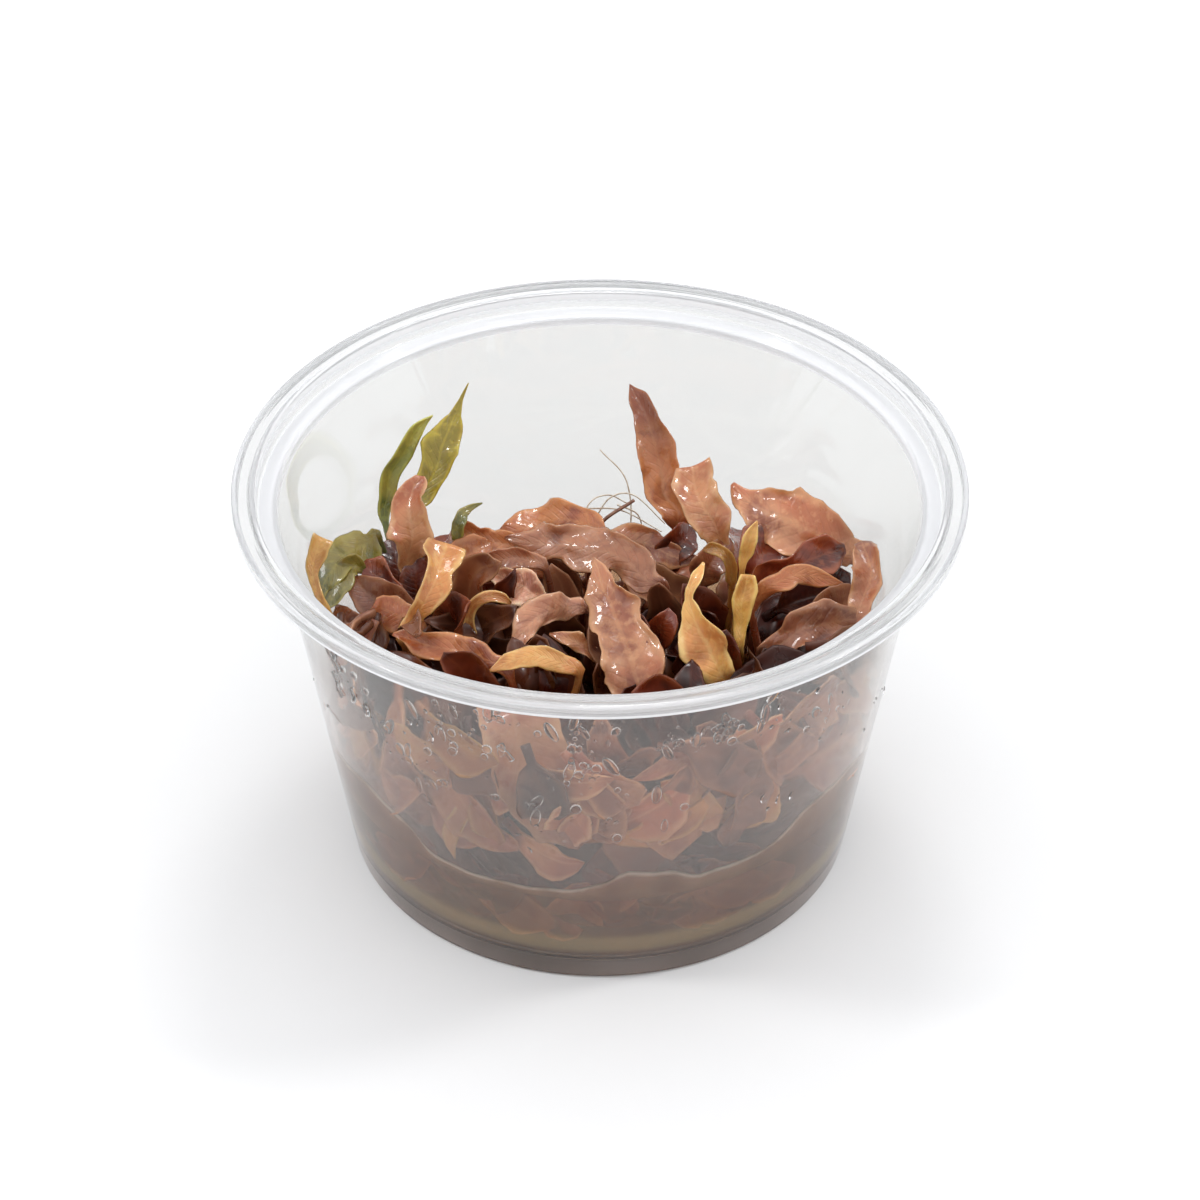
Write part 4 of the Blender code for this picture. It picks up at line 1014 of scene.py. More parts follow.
def filler_leaf(chance):
    """A leaf in the tangle: rooted at a crown, short of the wall and below the sight line, with painted
    shade that darkens it the deeper it lies.
    """
    while True:
        x, y = CROWNS[chance.choice(list(CROWNS))]
        turn = chance.uniform(0, 2 * math.pi)
        rise = chance.uniform(*FILLER_RISE)
        length = chance.uniform(*FILLER_LENGTH)
        outward = polar(turn)
        heading = outward * math.cos(rise) + Vector((0, 0, math.sin(rise)))
        start = Vector((x, y, chance.uniform(*FILLER_START))) + outward * chance.uniform(1, 6)
        bend = Vector((chance.uniform(-3, 3), chance.uniform(-3, 3), chance.uniform(0, 4)))
        tip = start + heading * length
        reach = inner_radius(tip.z * MM) / MM - FILLER_WALL_GAP
        highest = sight_height(tip)
        if math.hypot(tip.x, tip.y) > reach or not FILLER_LOWEST < tip.z < highest:
            continue
        route = [start * MM, (start + heading * length * 0.55 + bend) * MM, tip * MM]
        # Painted shade: the deeper the tip lies below the sight line, the darker the leaf, as shade falls
        # in the depths of the tangle.
        painted_light_near_top = smooth_step(0, 9, 9 - (highest - tip.z))
        shade = 0.16 + 0.7 * painted_light_near_top * chance.uniform(*FILLER_SHADE)
        face = Vector((chance.uniform(-0.4, 0.4), -0.6, 0.8)) - heading * 0.3
        return small_leaf(route, chance.uniform(*FILLER_WIDTH) * MM, face, shade)


def add_filler(surfaces):
    chance = random.Random(FILLER_SEED)
    for tint, count in FILLER_TINTS.items():
        leaves = [filler_leaf(chance) for index in range(count)]
        add_small_leaves("filler_" + tint, leaves, 50, 3.3, surfaces[tint], tint)


# Leaves that close the gaps between the taller ones: (tint, width, shade, middle line) in mm. The dark
# ones with a low shade paint the shade in the deep holes among the leaves.
GAP_FACE = Vector((0.0, -0.75, 0.65))
GAP_LEAVES = [
    ("dark", 8.5, 1.0, [(20.6, 7, 33), (21.5, 5, 39.5), (24, 8, 42), (27, 12, 43.5)]),
    ("dark", 8.0, 0.35, [(23.5, 5, 31.5), (27, 4, 35), (31.5, 4, 37), (35.5, 5, 39.5)]),
    ("dark", 6.5, 0.7, [(8, 11, 32), (10, 12, 37), (12, 12.5, 39.5), (13.5, 15, 40)]),
    ("brown", 6.0, 0.6, [(14.5, 8, 33), (15, 7, 38.5), (17, 8, 41), (18.5, 10, 42)]),
    ("mauve", 7.5, 0.8, [(-24, -1, 31), (-28, -1, 36), (-32.5, 1, 39), (-34.5, 3, 40.5)]),
    ("orange", 6.0, 0.8, [(-23, 9, 33), (-21, 9, 37.5), (-18, 10.5, 39), (-15.5, 12.5, 39.5)]),
    ("dark", 7.0, 0.6, [(-25.5, 4, 29), (-26, 6, 34), (-26.5, 8, 38), (-27.5, 10, 40)]),
    ("brown", 7.0, 0.6, [(-28, -6, 32), (-32, -5.5, 36), (-35.5, -4, 38), (-37, -1.5, 39)]),
    ("green", 5.0, 0.9, [(-31, 6, 37), (-34.5, 4.5, 41), (-36.8, 0.5, 41.3), (-38.8, -5.5, 41)]),
    ("mauve", 7.0, 0.8, [(28.5, -2, 33), (32, -2.5, 37.5), (35, -1.5, 39.5), (36.5, 0, 40.5)]),
    ("dark", 5.0, 0.9, [(5.5, -5.5, 33), (7.5, -8, 38.5), (9, -8.5, 41.5), (9.5, -7.5, 43)]),
    ("dark", 7.0, 0.6, [(-27, 5, 28), (-28, 8, 33), (-29, 11, 37), (-30, 14.5, 39)]),
]


def add_gap_leaves(surfaces):
    for index, (tint, width, shade, points) in enumerate(GAP_LEAVES):
        facts = small_leaf([Vector(point) * MM for point in points], width * MM, GAP_FACE, shade)
        facts["coarseness"] = 1.0
        name = "gap_leaf_%d" % (index + 1)
        mesh = leaf_mesh(name, facts, Vector(), index * 6.1 + 20)
        add_piece(name, mesh, surfaces[tint], "leaf_" + tint)


# Leaves that lie against the wall, and those in the gel: (tints with counts, heights in mm).
WALL_SEED = 23
WALL_LEAVES = {
    "wall": ({"pink": 34, "mauve": 22, "brown": 16, "tan": 8}, 22, 45),
    "sunken": ({"brown": 16, "dark": 14}, 8, 17),
}
WALL_DEPTH = (2.0, 4.5)
WALL_LENGTH = (10, 22)
WALL_WIDTH = (4.5, 9.5)
# Brightness of the wall and sunken leaves: partly a tone that differs from leaf to leaf, partly painted
# light on those that lie against the lit wall.
WALL_SHADE = (0.3, 1.8)


def wall_leaf(chance, lowest, highest, depth):
    """A leaf that lies along the wall, depth mm inside it and between two heights in mm."""
    angle = chance.uniform(0, 2 * math.pi)
    if chance.random() < 0.6:
        angle = math.radians(chance.uniform(-165, -15))
    climb = chance.choice((-1, 1)) * chance.uniform(0.2, 1.3)
    length = chance.uniform(*WALL_LENGTH)
    wall = inner_radius(30 * MM) / MM
    highest = min(highest, sight_height(polar(angle, wall)) - 4)
    lowest = min(lowest, highest - 3)
    height = chance.uniform(lowest, highest)
    route = []
    for share in (0.0, 0.35, 0.7, 1.0):
        along = (share - 0.5) * length
        level = min(highest, max(lowest, height + along * math.sin(climb))) * MM
        radius = inner_radius(level) - (depth + 1.5 * (1 - share) ** 2 * depth) * MM
        turn = angle + along * math.cos(climb) * MM / radius
        route.append(polar(turn, radius, level))
    outward = polar(angle, 1.0, 0.1)
    width = chance.uniform(*WALL_WIDTH) * MM
    return small_leaf(route, width, outward, chance.uniform(*WALL_SHADE), 0.5)


def add_wall_leaves(surfaces):
    chance = random.Random(WALL_SEED)
    for kind, (tints, lowest, highest) in WALL_LEAVES.items():
        for tint, count in tints.items():
            leaves = []
            for index in range(count):
                leaves.append(wall_leaf(chance, lowest, highest, chance.uniform(*WALL_DEPTH)))
            add_small_leaves(kind + "_leaves_" + tint, leaves, 90, 4.1, surfaces[tint], tint)


# Drops on both sides of the wall: (degrees from the front, height, spread in degrees and mm, count).
DROP_SEED = 5
DROP_CLUSTERS = [
    (-3, 44, 5, 6, 50), (13.5, 48, 5, 3, 24), (22, 47.5, 6, 3, 30), (-27, 46, 10, 6, 40),
    (-50, 41, 9, 6, 26), (-17, 52, 8, 3, 18), (32, 49, 10, 5, 26), (46, 44, 8, 6, 16),
    (-35, 36, 8, 6, 24), (-12, 33, 12, 6, 20), (10, 33, 12, 7, 16), (35, 30, 12, 8, 14),
    (0, 52, 7, 3, 16), (-75, 36, 16, 8, 8), (75, 34, 16, 8, 8),
]
DROP_SIZE = (0.15, 0.8)
DROP_STRETCHES = (1.0, 1.1, 1.3, 2.4)
HIGHEST_DROP = (CUP_HEIGHT - SEAT_DEPTH) / MM - 1.5

# The share of the small drops that sit on the outside.
OUTSIDE_SHARE = 0.7
SMALL_DROP = 0.5 * MM

# Drips that ran down the wall, by the same two measures.
DRIP_RADIUS = 0.4 * MM
DRIPS = [
    [(-57.5, 51.5), (-56.5, 50), (-55.5, 48.6), (-54, 47.6), (-53.2, 46.4)],
    [(-54.5, 50.5), (-53.8, 49.2), (-54.4, 48.2)],
    [(-56.2, 45), (-55.2, 43.6), (-55.4, 42.3), (-54.4, 41.2)],
    [(-50.5, 44.8), (-49.8, 43.6), (-50.3, 42.6)],
    [(-47.2, 43.6), (-46.3, 42.8), (-46.6, 41.8)],
    [(-18, 46.4), (-16.6, 45.6), (-15.4, 44.2)],
]

# Painted glints: the white that stands for light a bead of water gathers is strongest on its lower right
# side.
GLINT_SIDE = Vector((0.5, 0.0, -0.85))


def drop_mesh(centre, away, radius, stretch, chance):
    """A bead of water on the wall: a flattened ball whose back lies in the wall."""
    ball = bmesh.new()
    bmesh.ops.create_icosphere(ball, subdivisions=3 if radius > 0.4 * MM else 2, radius=1.0)
    sideways = Vector((-away.y, away.x, 0)).normalized()
    up = away.cross(sideways)
    tilt = chance.uniform(-0.6, 0.6)
    along = up * math.cos(tilt) + sideways * math.sin(tilt)
    side = sideways * math.cos(tilt) - up * math.sin(tilt)
    for vert in ball.verts:
        depth = vert.co.z * (0.62 if vert.co.z > 0 else 0.1)
        vert.co = centre + (along * vert.co.y * stretch + side * vert.co.x + away * depth) * radius
    mesh = bpy.data.meshes.new("drop")
    ball.to_mesh(mesh)
    ball.free()
    mesh.shade_smooth()
    return mesh


def wall_point(bearing, level, outside):
    """A point on one side of the wall, at degrees from the front and a height in mm."""
    angle = math.radians(bearing - 90)
    radius = outer_radius(level * MM) if outside else inner_radius(level * MM)
    return polar(angle, radius, level * MM)


def mark_glints(mesh):
    """Marks the steep sides of the beads for painted glints, most of all those that face GLINT_SIDE."""
    glints = []
    for vert in mesh.vertices:
        outward = Vector((vert.co.x, vert.co.y, 0)).normalized()
        steep = smooth_step(0.4, 0.9, 1 - abs(vert.normal.dot(outward)))
        glints.append(steep * (0.25 + 0.75 * smooth_step(-0.3, 0.8, vert.normal.dot(GLINT_SIDE))))
    mesh.attributes.new("painted_glint", "FLOAT", "POINT").data.foreach_set("value", glints)


def add_drops(surface):
    chance = random.Random(DROP_SEED)
    meshes = []
    smallest, largest = DROP_SIZE
    for bearing, height, spread, rise, count in DROP_CLUSTERS:
        for drop in range(count):
            turn = bearing + chance.gauss(0, spread / 2)
            level = min(height + chance.gauss(0, rise / 2), HIGHEST_DROP)
            radius = (smallest + (largest - smallest) * chance.random() ** 3) * MM
            stretch = chance.choice(DROP_STRETCHES)
            outside = radius < SMALL_DROP and chance.random() < OUTSIDE_SHARE
            centre = wall_point(turn, level, outside)
            outward = Vector((centre.x, centre.y, 0)).normalized()
            meshes.append(drop_mesh(centre, outward if outside else -outward, radius, stretch, chance))
    for drip in DRIPS:
        route = smooth_route([wall_point(*spot, True) for spot in drip], 24)
        meshes.append(thread_mesh("drip", route, 0.6 * DRIP_RADIUS, DRIP_RADIUS, 12))
    mesh = join_meshes("condensation", meshes)
    mark_glints(mesh)
    add_piece("condensation", mesh, surface, "clear_plastic")


def paint(red, green, blue):
    """A colour in linear light, from its everyday 0 to 255 values."""
    values = []
    for value in (red, green, blue):
        share = value / 255
        values.append(share / 12.92 if share <= 0.04045 else ((share + 0.055) / 1.055) ** 2.4)
    return (*values, 1.0)


class Surface:
    """A procedural material, with short calls that add its nodes and set its shader."""

    def __init__(self, name):
        self.material = bpy.data.materials.new(name)
        self.material.use_nodes = True
        self.tree = self.material.node_tree
        self.shader = self.tree.nodes["Principled BSDF"]
        self.shader.distribution = "GGX"
        self.place = self.add("ShaderNodeTexCoord", {}).outputs["Object"]

    def put(self, node, inputs):
        """Sets inputs of a node to values, or links them to other nodes' outputs."""
        for key, value in inputs.items():
            if isinstance(value, bpy.types.NodeSocket):
                self.tree.links.new(value, node.inputs[key])
            else:
                node.inputs[key].default_value = value

    def add(self, kind, inputs, **settings):
        node = self.tree.nodes.new(kind)
        for key, value in settings.items():
            setattr(node, key, value)
        self.put(node, inputs)
        return node

    def shade(self, inputs):
        """Sets the shader's inputs and returns the material."""
        self.put(self.shader, inputs)
        return self.material

    def attribute(self, name):
        return self.add("ShaderNodeAttribute", {}, attribute_name=name).outputs["Fac"]

    def math(self, operation, *values):
        return self.add("ShaderNodeMath", dict(enumerate(values)), operation=operation).outputs[0]

    def times(self, first, second):
        return self.math("MULTIPLY", first, second)

    def plus(self, first, second):
        return self.math("ADD", first, second)

    def minus(self, first, second):
        return self.math("SUBTRACT", first, second)

    def larger(self, first, second):
        return self.math("MAXIMUM", first, second)

    def steps(self, value, low, high, start=0.0, end=1.0):
        """A smooth step of value between low and high, from start to end."""
        inputs = {"Value": value, "From Min": low, "From Max": high, "To Min": start, "To Max": end}
        return self.add("ShaderNodeMapRange", inputs, interpolation_type="SMOOTHSTEP").outputs["Result"]

    def band(self, value, middle, reach):
        """One where value is near the middle, falling to zero at reach from it."""
        return self.steps(self.math("ABSOLUTE", self.minus(value, middle)), reach, reach / 2)

    def grain(self, scale, detail=3.0, distortion=0.0):
        inputs = {"Vector": self.place, "Scale": scale, "Detail": detail, "Distortion": distortion}
        return self.add("ShaderNodeTexNoise", inputs).outputs["Fac"]

    def blend(self, share, first, second, how="MIX"):
        """Two colours mixed by share."""
        inputs = {0: share, 6: first, 7: second}
        return self.add("ShaderNodeMix", inputs, data_type="RGBA", blend_type=how).outputs[2]

    def bumped(self, height, strength, distance):
        inputs = {"Height": height, "Strength": strength, "Distance": distance}
        return self.add("ShaderNodeBump", inputs).outputs["Normal"]

    def coordinates(self):
        """The place's x, y and z, each by itself."""
        return self.add("ShaderNodeSeparateXYZ", {0: self.place}).outputs[:]

    def axis_distance(self):
        """The distance from the cup's axis."""
        flat = self.add("ShaderNodeVectorMath", {0: self.place, 1: (1, 1, 0)}, operation="MULTIPLY")
        return self.add("ShaderNodeVectorMath", {0: flat.outputs[0]}, operation="LENGTH").outputs["Value"]


# Scales of the patterns on a leaf, from broad patches to speckles.
PATCH_SCALE = 85.0
BLOTCH_SCALE = 170.0
MARGIN_SCALE = 260.0
DENT_SCALE = 420.0
FILM_SCALE = 500.0
SPECKLE_SCALE = 900.0

# Side veins: how many there are, how far they slant and how narrow they are.
VEIN_TURNS = 90.0
VEIN_SLANT = 15.0
VEIN_SHARPNESS = 7.0


def leaf_veins(made, blade, across):
    """Lines of the side veins, which slant to the tip, and of the midrib."""
    turns = made.minus(made.times(blade, VEIN_TURNS), made.times(across, VEIN_SLANT))
    line = made.math("MULTIPLY_ADD", made.math("COSINE", turns), 0.5, 0.5)
    line = made.times(made.math("POWER", line, VEIN_SHARPNESS), made.steps(across, 0.95, 0.5))
    return line, made.steps(across, 0.11, 0.03)


def leaf_colour(made, fine, blade, across, colours):
    """Blotches, speckles, veins, a paler margin that is partly painted light, a dark edge line of painted
    shade, and a darker stalk.
    """
    body, second, deep, margin = colours
    side_veins, midrib = leaf_veins(made, blade, across)
    colour = made.blend(made.steps(made.grain(PATCH_SCALE, 2.0), 0.42, 0.6), body, second)
    blotches = made.grain(BLOTCH_SCALE, 4.0 if fine else 2.0, 0.6)
    colour = made.blend(made.steps(blotches, 0.45, 0.68, 0.0, 0.85), colour, deep)
    uneven = across
    if fine:
        speckle = made.steps(made.grain(SPECKLE_SCALE), 0.5, 0.72, 0.0, 0.4)
        colour = made.blend(speckle, colour, margin)
        uneven = made.plus(across, made.steps(made.grain(MARGIN_SCALE, 1.0), 0.3, 0.7, -0.12, 0.12))
    colour = made.blend(made.times(side_veins, 0.07), colour, deep)
    colour = made.blend(made.times(midrib, 0.25), colour, margin)
    # Near the margin: a paler band, partly its own paler colour and partly painted light shining through
    # the thin margin, then a thin dark line of painted shade at the very edge.
    colour = made.blend(made.steps(uneven, 0.66, 0.95, 0.0, 0.6), colour, margin)
    colour = made.blend(made.steps(across, 0.975, 0.998, 0.0, 0.7), colour, deep)
    colour = made.blend(made.steps(blade, 0.2, -0.1, 0.0, 0.85), colour, deep)
    return made.blend(made.times(made.attribute("under"), 0.25), colour, margin), side_veins


def shaded(made, colour):
    """The colour times the leaf's shade attribute, which is partly its own tone and partly painted light
    and shade, warmed as it darkens to paint the warm shade in the crevices.
    """
    level = made.attribute("shade")
    warm_painted_shade = [made.math("POWER", level, power) for power in (1.0, 1.25, 1.5)]
    shade = made.add("ShaderNodeCombineColor", dict(enumerate(warm_painted_shade))).outputs[0]
    colour = made.blend(1.0, colour, shade, "MULTIPLY")
    colour.node.clamp_result = True
    return colour


def leaf_material(name, fine, colours):
    """A wet leaf. A fine one also has an uneven film of water and lets light through."""
    made = Surface(name)
    across = made.math("ABSOLUTE", made.attribute("across"))
    colour, side_veins = leaf_colour(made, fine, made.attribute("blade"), across, colours)
    dents = made.grain(DENT_SCALE, 4.0 if fine else 1.0)
    if fine:
        relief = made.minus(dents, made.times(side_veins, 0.12))
        made.shade({
            "Normal": made.bumped(relief, 0.8, 0.3 * MM),
            "Coat Normal": made.bumped(made.grain(FILM_SCALE, 1.0, 0.8), 0.35, 0.3 * MM),
            "Coat Weight": 0.6,
            "Coat Roughness": 0.05,
            "Subsurface Weight": 0.2,
            "Subsurface Radius": (1.0, 0.45, 0.25),
            "Subsurface Scale": 1.2 * MM,
        })
    return made.shade({
        "Base Color": shaded(made, colour),
        "Roughness": made.steps(dents, 0.3, 0.7, 0.24, 0.5),
    })


# Body, second, deep and margin colour of each kind of leaf.
LEAF_COLOURS = {
    "green": ((120, 120, 80), (146, 132, 84), (78, 86, 62), (170, 160, 108)),
    "yellow_green": ((188, 160, 44), (160, 146, 48), (126, 112, 34), (208, 188, 88)),
    "pink": ((206, 146, 114), (190, 112, 86), (164, 96, 74), (228, 184, 156)),
    "tan": ((234, 174, 112), (218, 146, 92), (190, 122, 76), (246, 208, 154)),
    "ochre": ((230, 178, 108), (212, 156, 88), (184, 124, 66), (240, 206, 140)),
    "orange": ((192, 108, 70), (208, 138, 100), (138, 62, 44), (228, 164, 122)),
    "brown": ((184, 112, 86), (198, 142, 118), (136, 70, 54), (226, 172, 142)),
    "mauve": ((164, 104, 86), (184, 126, 106), (110, 56, 44), (204, 154, 134)),
    "dark": ((128, 50, 28), (152, 70, 44), (68, 20, 12), (174, 100, 68)),
}


# Water on a leaf deepens its colours by these factors.
WET_TINT = (0.9, 0.84, 0.6, 1.0)
WET_GREEN_TINT = (0.95, 0.9, 0.4, 1.0)


def wet(tint, colour):
    factors = WET_GREEN_TINT if "green" in tint else WET_TINT
    return tuple(value * factor for value, factor in zip(paint(*colour), factors))


def leaf_materials(ending, fine):
    made = {}
    for tint, colours in LEAF_COLOURS.items():
        colours = [wet(tint, colour) for colour in colours]
        made[tint] = leaf_material("leaf " + tint + ending, fine, colours)
    return made


LINE_SPACING = 0.7 * MM


def flow_lines(made, radius, height, waves):
    """Fine rings that the mould leaves on the flange."""
    turns = made.plus(made.times(radius, 2 * math.pi / LINE_SPACING), made.times(waves, 6.0))
    on_top = made.steps(height, CUP_HEIGHT - 1.2 * MM, CUP_HEIGHT - 0.4 * MM)
    return made.times(made.math("SINE", turns), on_top)


def milky_and_highlit_edges(made, radius, height):
    """Where the rim is whiter and hazier, low on its lip, at the step to its seat and on the seat: partly
    milkier thick plastic, partly painted highlights of its bright edges.
    """
    lip = made.steps(radius, RIM_RADIUS - 1.1 * MM, RIM_RADIUS - 0.6 * MM)
    low = made.steps(height, CUP_HEIGHT - 0.9 * MM, CUP_HEIGHT - 1.3 * MM, 0.0, 2.2)
    lip = made.times(lip, made.larger(low, made.band(height, CUP_HEIGHT, 0.35 * MM)))
    step = made.band(radius, SEAT_STEP_RADIUS + 0.3 * MM, 0.6 * MM)
    flange = made.steps(height, CUP_HEIGHT - 3 * MM, CUP_HEIGHT - 2 * MM)
    flange = made.times(made.larger(made.larger(lip, step), 0.4), flange)
    seat = made.steps(radius, NECK_RADIUS - 1.3 * MM, NECK_RADIUS - 0.7 * MM)
    seat = made.times(seat, made.steps(radius, SEAT_STEP_RADIUS, SEAT_STEP_RADIUS - 0.6 * MM))
    high = made.steps(height, CUP_HEIGHT - 4.6 * MM, CUP_HEIGHT - 3.8 * MM, 0.0, 1.8)
    return made.larger(flange, made.times(seat, high))


def layer(made, height, low, full, fading, high):
    """One from full to fading, and zero below low and above high: heights in mm."""
    rise = made.steps(height, low * MM, full * MM)
    return made.times(made.steps(height, high * MM, fading * MM), rise)


# Colours of the plastic: the clear wall, its milky rim that also carries painted highlights, the mist, a
# band of painted light low down, and painted shade and gel light at the foot.
CLEAR_COLOUR = (0.8, 0.8, 0.785, 1.0)
FOOT_SHADE_AND_GEL_LIGHT_COLOUR = (0.5, 0.42, 0.37, 1.0)
MILKY_HIGHLIGHT_COLOUR = (0.95, 0.955, 0.97, 1.0)
MIST_COLOUR = (0.84, 0.73, 0.68, 1.0)
PAINTED_LIGHT_BAND_COLOUR = (0.95, 0.8, 0.6, 1.0)

PLASTIC_IOR = 1.49
GEL_IOR = 1.335
GEL_ABSORPTION = {"Color": (0.5, 0.34, 0.12, 1.0), "Density": 30.0}
WATER_IOR = 1.333


def plastic_material():
    """Thin moulded plastic: clear, with flow marks, a mist low on the wall, a milky rim partly painted
    with highlights, a painted band of light low down and painted shade and gel light at the foot.
    """
    made = Surface("clear plastic")
    back, height = made.coordinates()[1:]
    radius = made.axis_distance()
    # Partly painted highlights: the rim's edges, whiter and hazier.
    milk_and_highlights = milky_and_highlit_edges(made, radius, height)
    # Painted shade and light at the foot: darker and warmer low down, for the shade under the cup's floor
    # and the gel's warm light.
    painted_foot_shade_and_gel_light = made.steps(height, FLOOR_TOP + 1.5 * MM, FLOOR_TOP - 0.5 * MM)
    patches = made.steps(made.grain(60.0, 2.0), 0.3, 0.65, 0.45, 1.0)
    level = made.plus(height, made.times(back, 0.45))
    misted = made.times(made.steps(level, 42 * MM, 18 * MM), patches)
    # Painted light: a paler, warmer band low on the wall, for the light that the gel gathers there.
    lowest = layer(made, height, 5, 6.5, 8, 10)
    colour = made.blend(painted_foot_shade_and_gel_light, CLEAR_COLOUR, FOOT_SHADE_AND_GEL_LIGHT_COLOUR)
    colour = made.blend(milk_and_highlights, colour, MILKY_HIGHLIGHT_COLOUR)
    colour = made.blend(misted, colour, MIST_COLOUR)
    colour = made.blend(lowest, colour, PAINTED_LIGHT_BAND_COLOUR)
    misted = made.times(misted, made.steps(height, 14 * MM, 24 * MM, 0.3, 1.1))
    haze = made.plus(made.times(made.larger(misted, lowest), 0.04), made.times(milk_and_highlights, 0.3))
    waves = made.grain(45.0, 1.0)
    relief = made.plus(waves, made.times(flow_lines(made, radius, height, waves), 0.2))
    return made.shade({
        "Base Color": colour,
        "Transmission Weight": made.minus(0.96, haze),
        "IOR": PLASTIC_IOR,
        "Roughness": made.steps(made.grain(60.0, 2.0), 0.35, 0.7, 0.03, 0.08),
        "Normal": made.bumped(relief, 0.2, 0.25 * MM),
    })


def gel_material():
    """Cloudy brown nutrient gel: wet, with a painted highlight on its meniscus at the wall and a paler
    band of painted light low down.
    """
    made = Surface("nutrient gel")
    height = made.coordinates()[2]
    clouds = made.steps(made.grain(70.0, 2.0, 1.5), 0.35, 0.7)
    colour = made.blend(clouds, paint(236, 196, 154), paint(206, 156, 116))
    # Painted light: a paler band low in the gel, where light gathers near its bottom.
    colour = made.blend(layer(made, height, 5, 6, 7.5, 9.5), colour, paint(255, 232, 190))
    # Painted highlight: the meniscus at the wall is made paler and less clear.
    pale = made.times(made.attribute("pale"), made.steps(made.grain(160.0), 0.3, 0.6, 0.4, 1.0))
    absorption = made.add("ShaderNodeVolumeAbsorption", GEL_ABSORPTION)
    made.put(made.tree.nodes["Material Output"], {"Volume": absorption.outputs[0]})
    return made.shade({
        "Base Color": made.blend(pale, colour, paint(248, 240, 226)),
        "Transmission Weight": made.minus(0.8, made.times(pale, 0.5)),
        "IOR": GEL_IOR,
        "Roughness": made.steps(made.grain(120.0), 0.3, 0.7, 0.04, 0.14),
        "Normal": made.bumped(made.grain(90.0, 1.0), 0.3, 0.5 * MM),
    })


def water_material():
    """Clear water, with glints painted white on the steep sides of the beads."""
    made = Surface("water")
    return made.shade({
        "Base Color": (1.0, 1.0, 1.0, 1.0),
        "Transmission Weight": made.minus(1.0, made.attribute("painted_glint")),
        "IOR": WATER_IOR,
        "Roughness": made.steps(made.grain(300.0), 0.3, 0.7, 0.0, 0.03),
    })


def fibre_material(name, light, dark, roughness):
    """Damp plant fibre, streaked between two colours."""
    made = Surface(name)
    streaks = made.steps(made.grain(500.0, 5.0, 2.0), 0.35, 0.65)
    return made.shade({
        "Base Color": made.blend(streaks, light, dark),
        "Roughness": made.steps(made.grain(900.0), 0.3, 0.7, roughness, roughness + 0.2),
        "Normal": made.bumped(made.grain(1500.0, 4.0), 0.6, 0.15 * MM),
        "Coat Weight": 0.5,
        "Coat Roughness": 0.1,
    })


FLOOR_COLOURS = [(0.94, 0.94, 0.94, 1.0), (0.96, 0.96, 0.96, 1.0)]


def floor_material():
    made = Surface("floor")
    return made.shade({
        "Base Color": made.blend(made.grain(3.0), *FLOOR_COLOURS),
        "Roughness": made.steps(made.grain(40.0), 0.3, 0.7, 0.8, 0.95),
        "Specular IOR Level": 0.1,
    })


# Softboxes, by their place and size in metres and their power.
SOFTBOXES = {
    "left softbox": ((-0.42, -0.1, 0.55), 0.09, 0.85),
    "right softbox": ((0.42, 0.0, 0.55), 0.09, 0.85),
    "back softbox": ((0.05, 0.3, 0.62), 0.14, 0.55),
}
SOFTBOX_AIM = Vector((0, 0, 0.03))

STUDIO_COLOUR = (0.97, 0.98, 1.0, 1.0)
STUDIO_STRENGTH = 0.93
FLOOR_SIZE = 4.0


def add_softbox(name, place, size, power):
    data = bpy.data.lights.new(name, "AREA")
    data.shape = "SQUARE"
    data.size = size
    data.energy = power
    light = bpy.data.objects.new(name, data)
    light.location = place
    light.rotation_euler = (Vector(place) - SOFTBOX_AIM).to_track_quat("Z", "Y").to_euler()
    bpy.context.scene.collection.objects.link(light)


# The camera stands in front of the cup and looks down at its middle.
CAMERA_DISTANCE = 0.5
CAMERA_HEIGHT_ANGLE = math.radians(37.56)
CAMERA_AIM = Vector((0, 0, 38.58 * MM))
CAMERA_LENS = 106.62


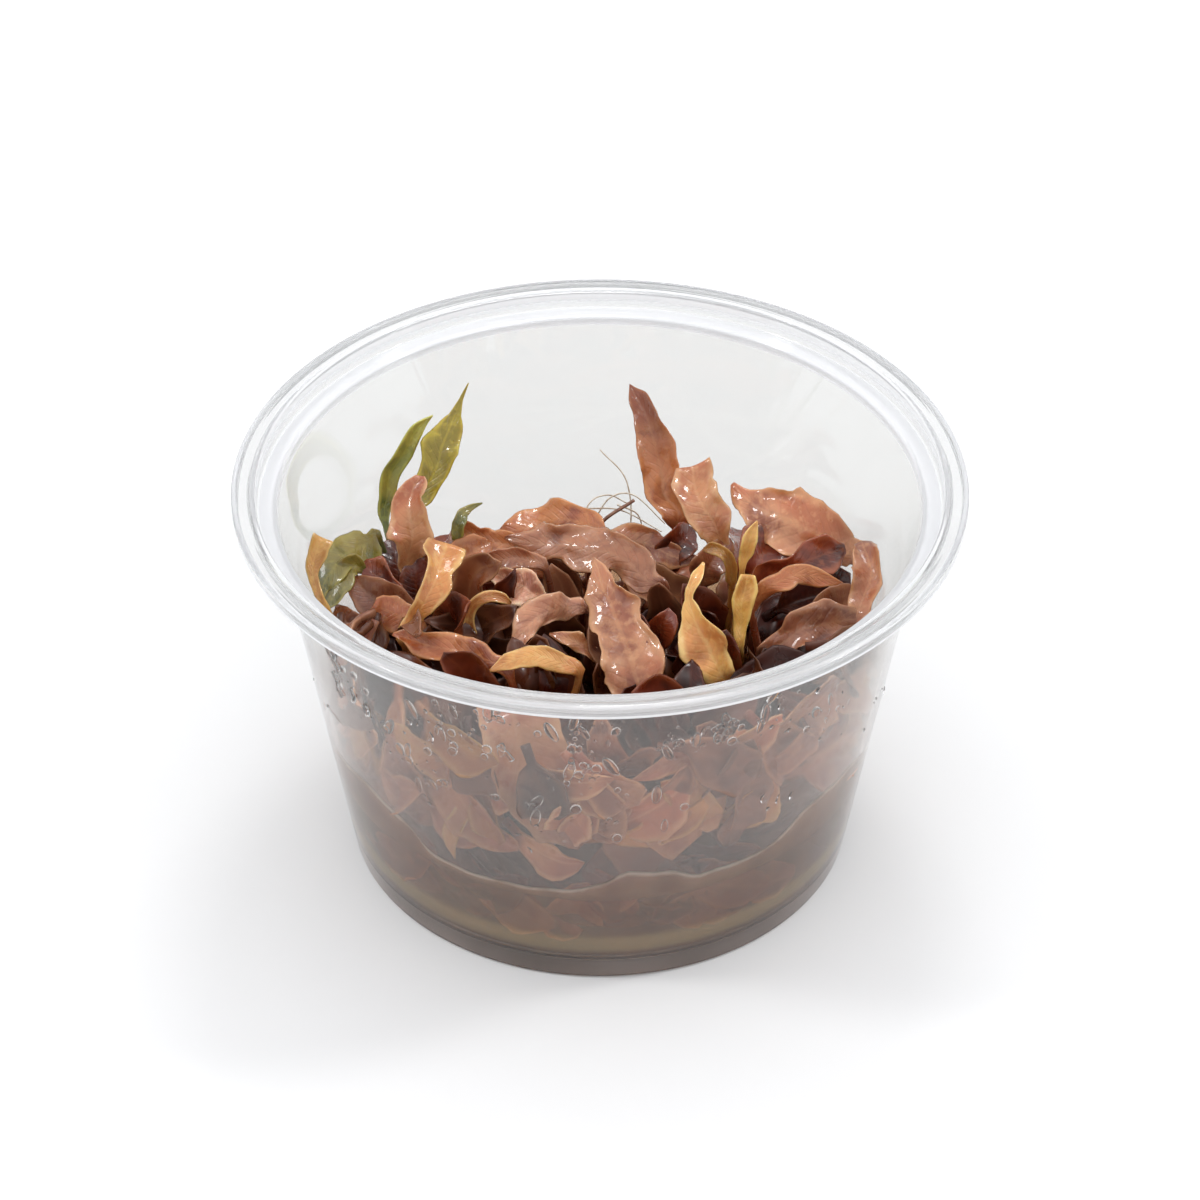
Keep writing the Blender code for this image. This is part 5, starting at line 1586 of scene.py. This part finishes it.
def add_camera():
    scene = bpy.context.scene
    camera = bpy.data.objects.new("camera", bpy.data.cameras.new("camera"))
    camera.data.lens = CAMERA_LENS
    back = Vector((0, -math.cos(CAMERA_HEIGHT_ANGLE), math.sin(CAMERA_HEIGHT_ANGLE)))
    camera.location = CAMERA_AIM + back * CAMERA_DISTANCE
    camera.rotation_euler = (math.pi / 2 - CAMERA_HEIGHT_ANGLE, 0, 0)
    scene.collection.objects.link(camera)
    scene.camera = camera


def add_studio():
    """The pale floor, the even light from all round and the softboxes."""
    bpy.ops.mesh.primitive_plane_add(size=FLOOR_SIZE, location=(0, 0, 0))
    floor = bpy.context.object
    floor.name = "floor"
    floor.data.materials.append(floor_material())

    world = bpy.data.worlds.new("studio")
    world.use_nodes = True
    background = world.node_tree.nodes["Background"]
    background.inputs["Color"].default_value = STUDIO_COLOUR
    background.inputs["Strength"].default_value = STUDIO_STRENGTH
    bpy.context.scene.world = world
    for name, (place, size, power) in SOFTBOXES.items():
        add_softbox(name, place, size, power)
    bpy.context.scene.view_settings.view_transform = "Standard"


def add_blades(surfaces):
    """Adds the leaves that have solids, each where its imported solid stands."""
    grown = dict.fromkeys(CROWNS, 0)
    for index, (name, facts) in enumerate(LEAVES.items()):
        side = facts["crown"]
        set_route(facts, grown[side] % TIERS)
        grown[side] += 1
        facts["anchor"] = crown_point(side, facts["route"][0].z - HIDDEN_DROP)
        mesh = leaf_mesh("blade_" + name, facts, settled_move(name, facts), index * 5.3)
        tint = facts["tint"]
        add_piece("blade_" + name, mesh, surfaces[tint], "leaf_" + tint, name)


def main():
    fine_surfaces = leaf_materials("", True)
    hidden_surfaces = leaf_materials(" in the tangle", False)
    crown = fibre_material("crown", paint(96, 60, 40), paint(48, 26, 20), 0.45)
    pale_root = fibre_material("pale root", paint(236, 224, 204), paint(196, 172, 146), 0.4)
    brown_root = fibre_material("brown root", paint(164, 116, 90), paint(112, 72, 54), 0.4)
    add_camera()
    add_studio()
    add_cup(plastic_material())
    add_gel(gel_material())
    add_blades(fine_surfaces)
    add_crowns(crown, hidden_surfaces["dark"])
    add_gap_leaves(fine_surfaces)
    add_filler(hidden_surfaces)
    add_wall_leaves(hidden_surfaces)
    add_roots(pale_root, brown_root)
    add_drops(water_material())


main()
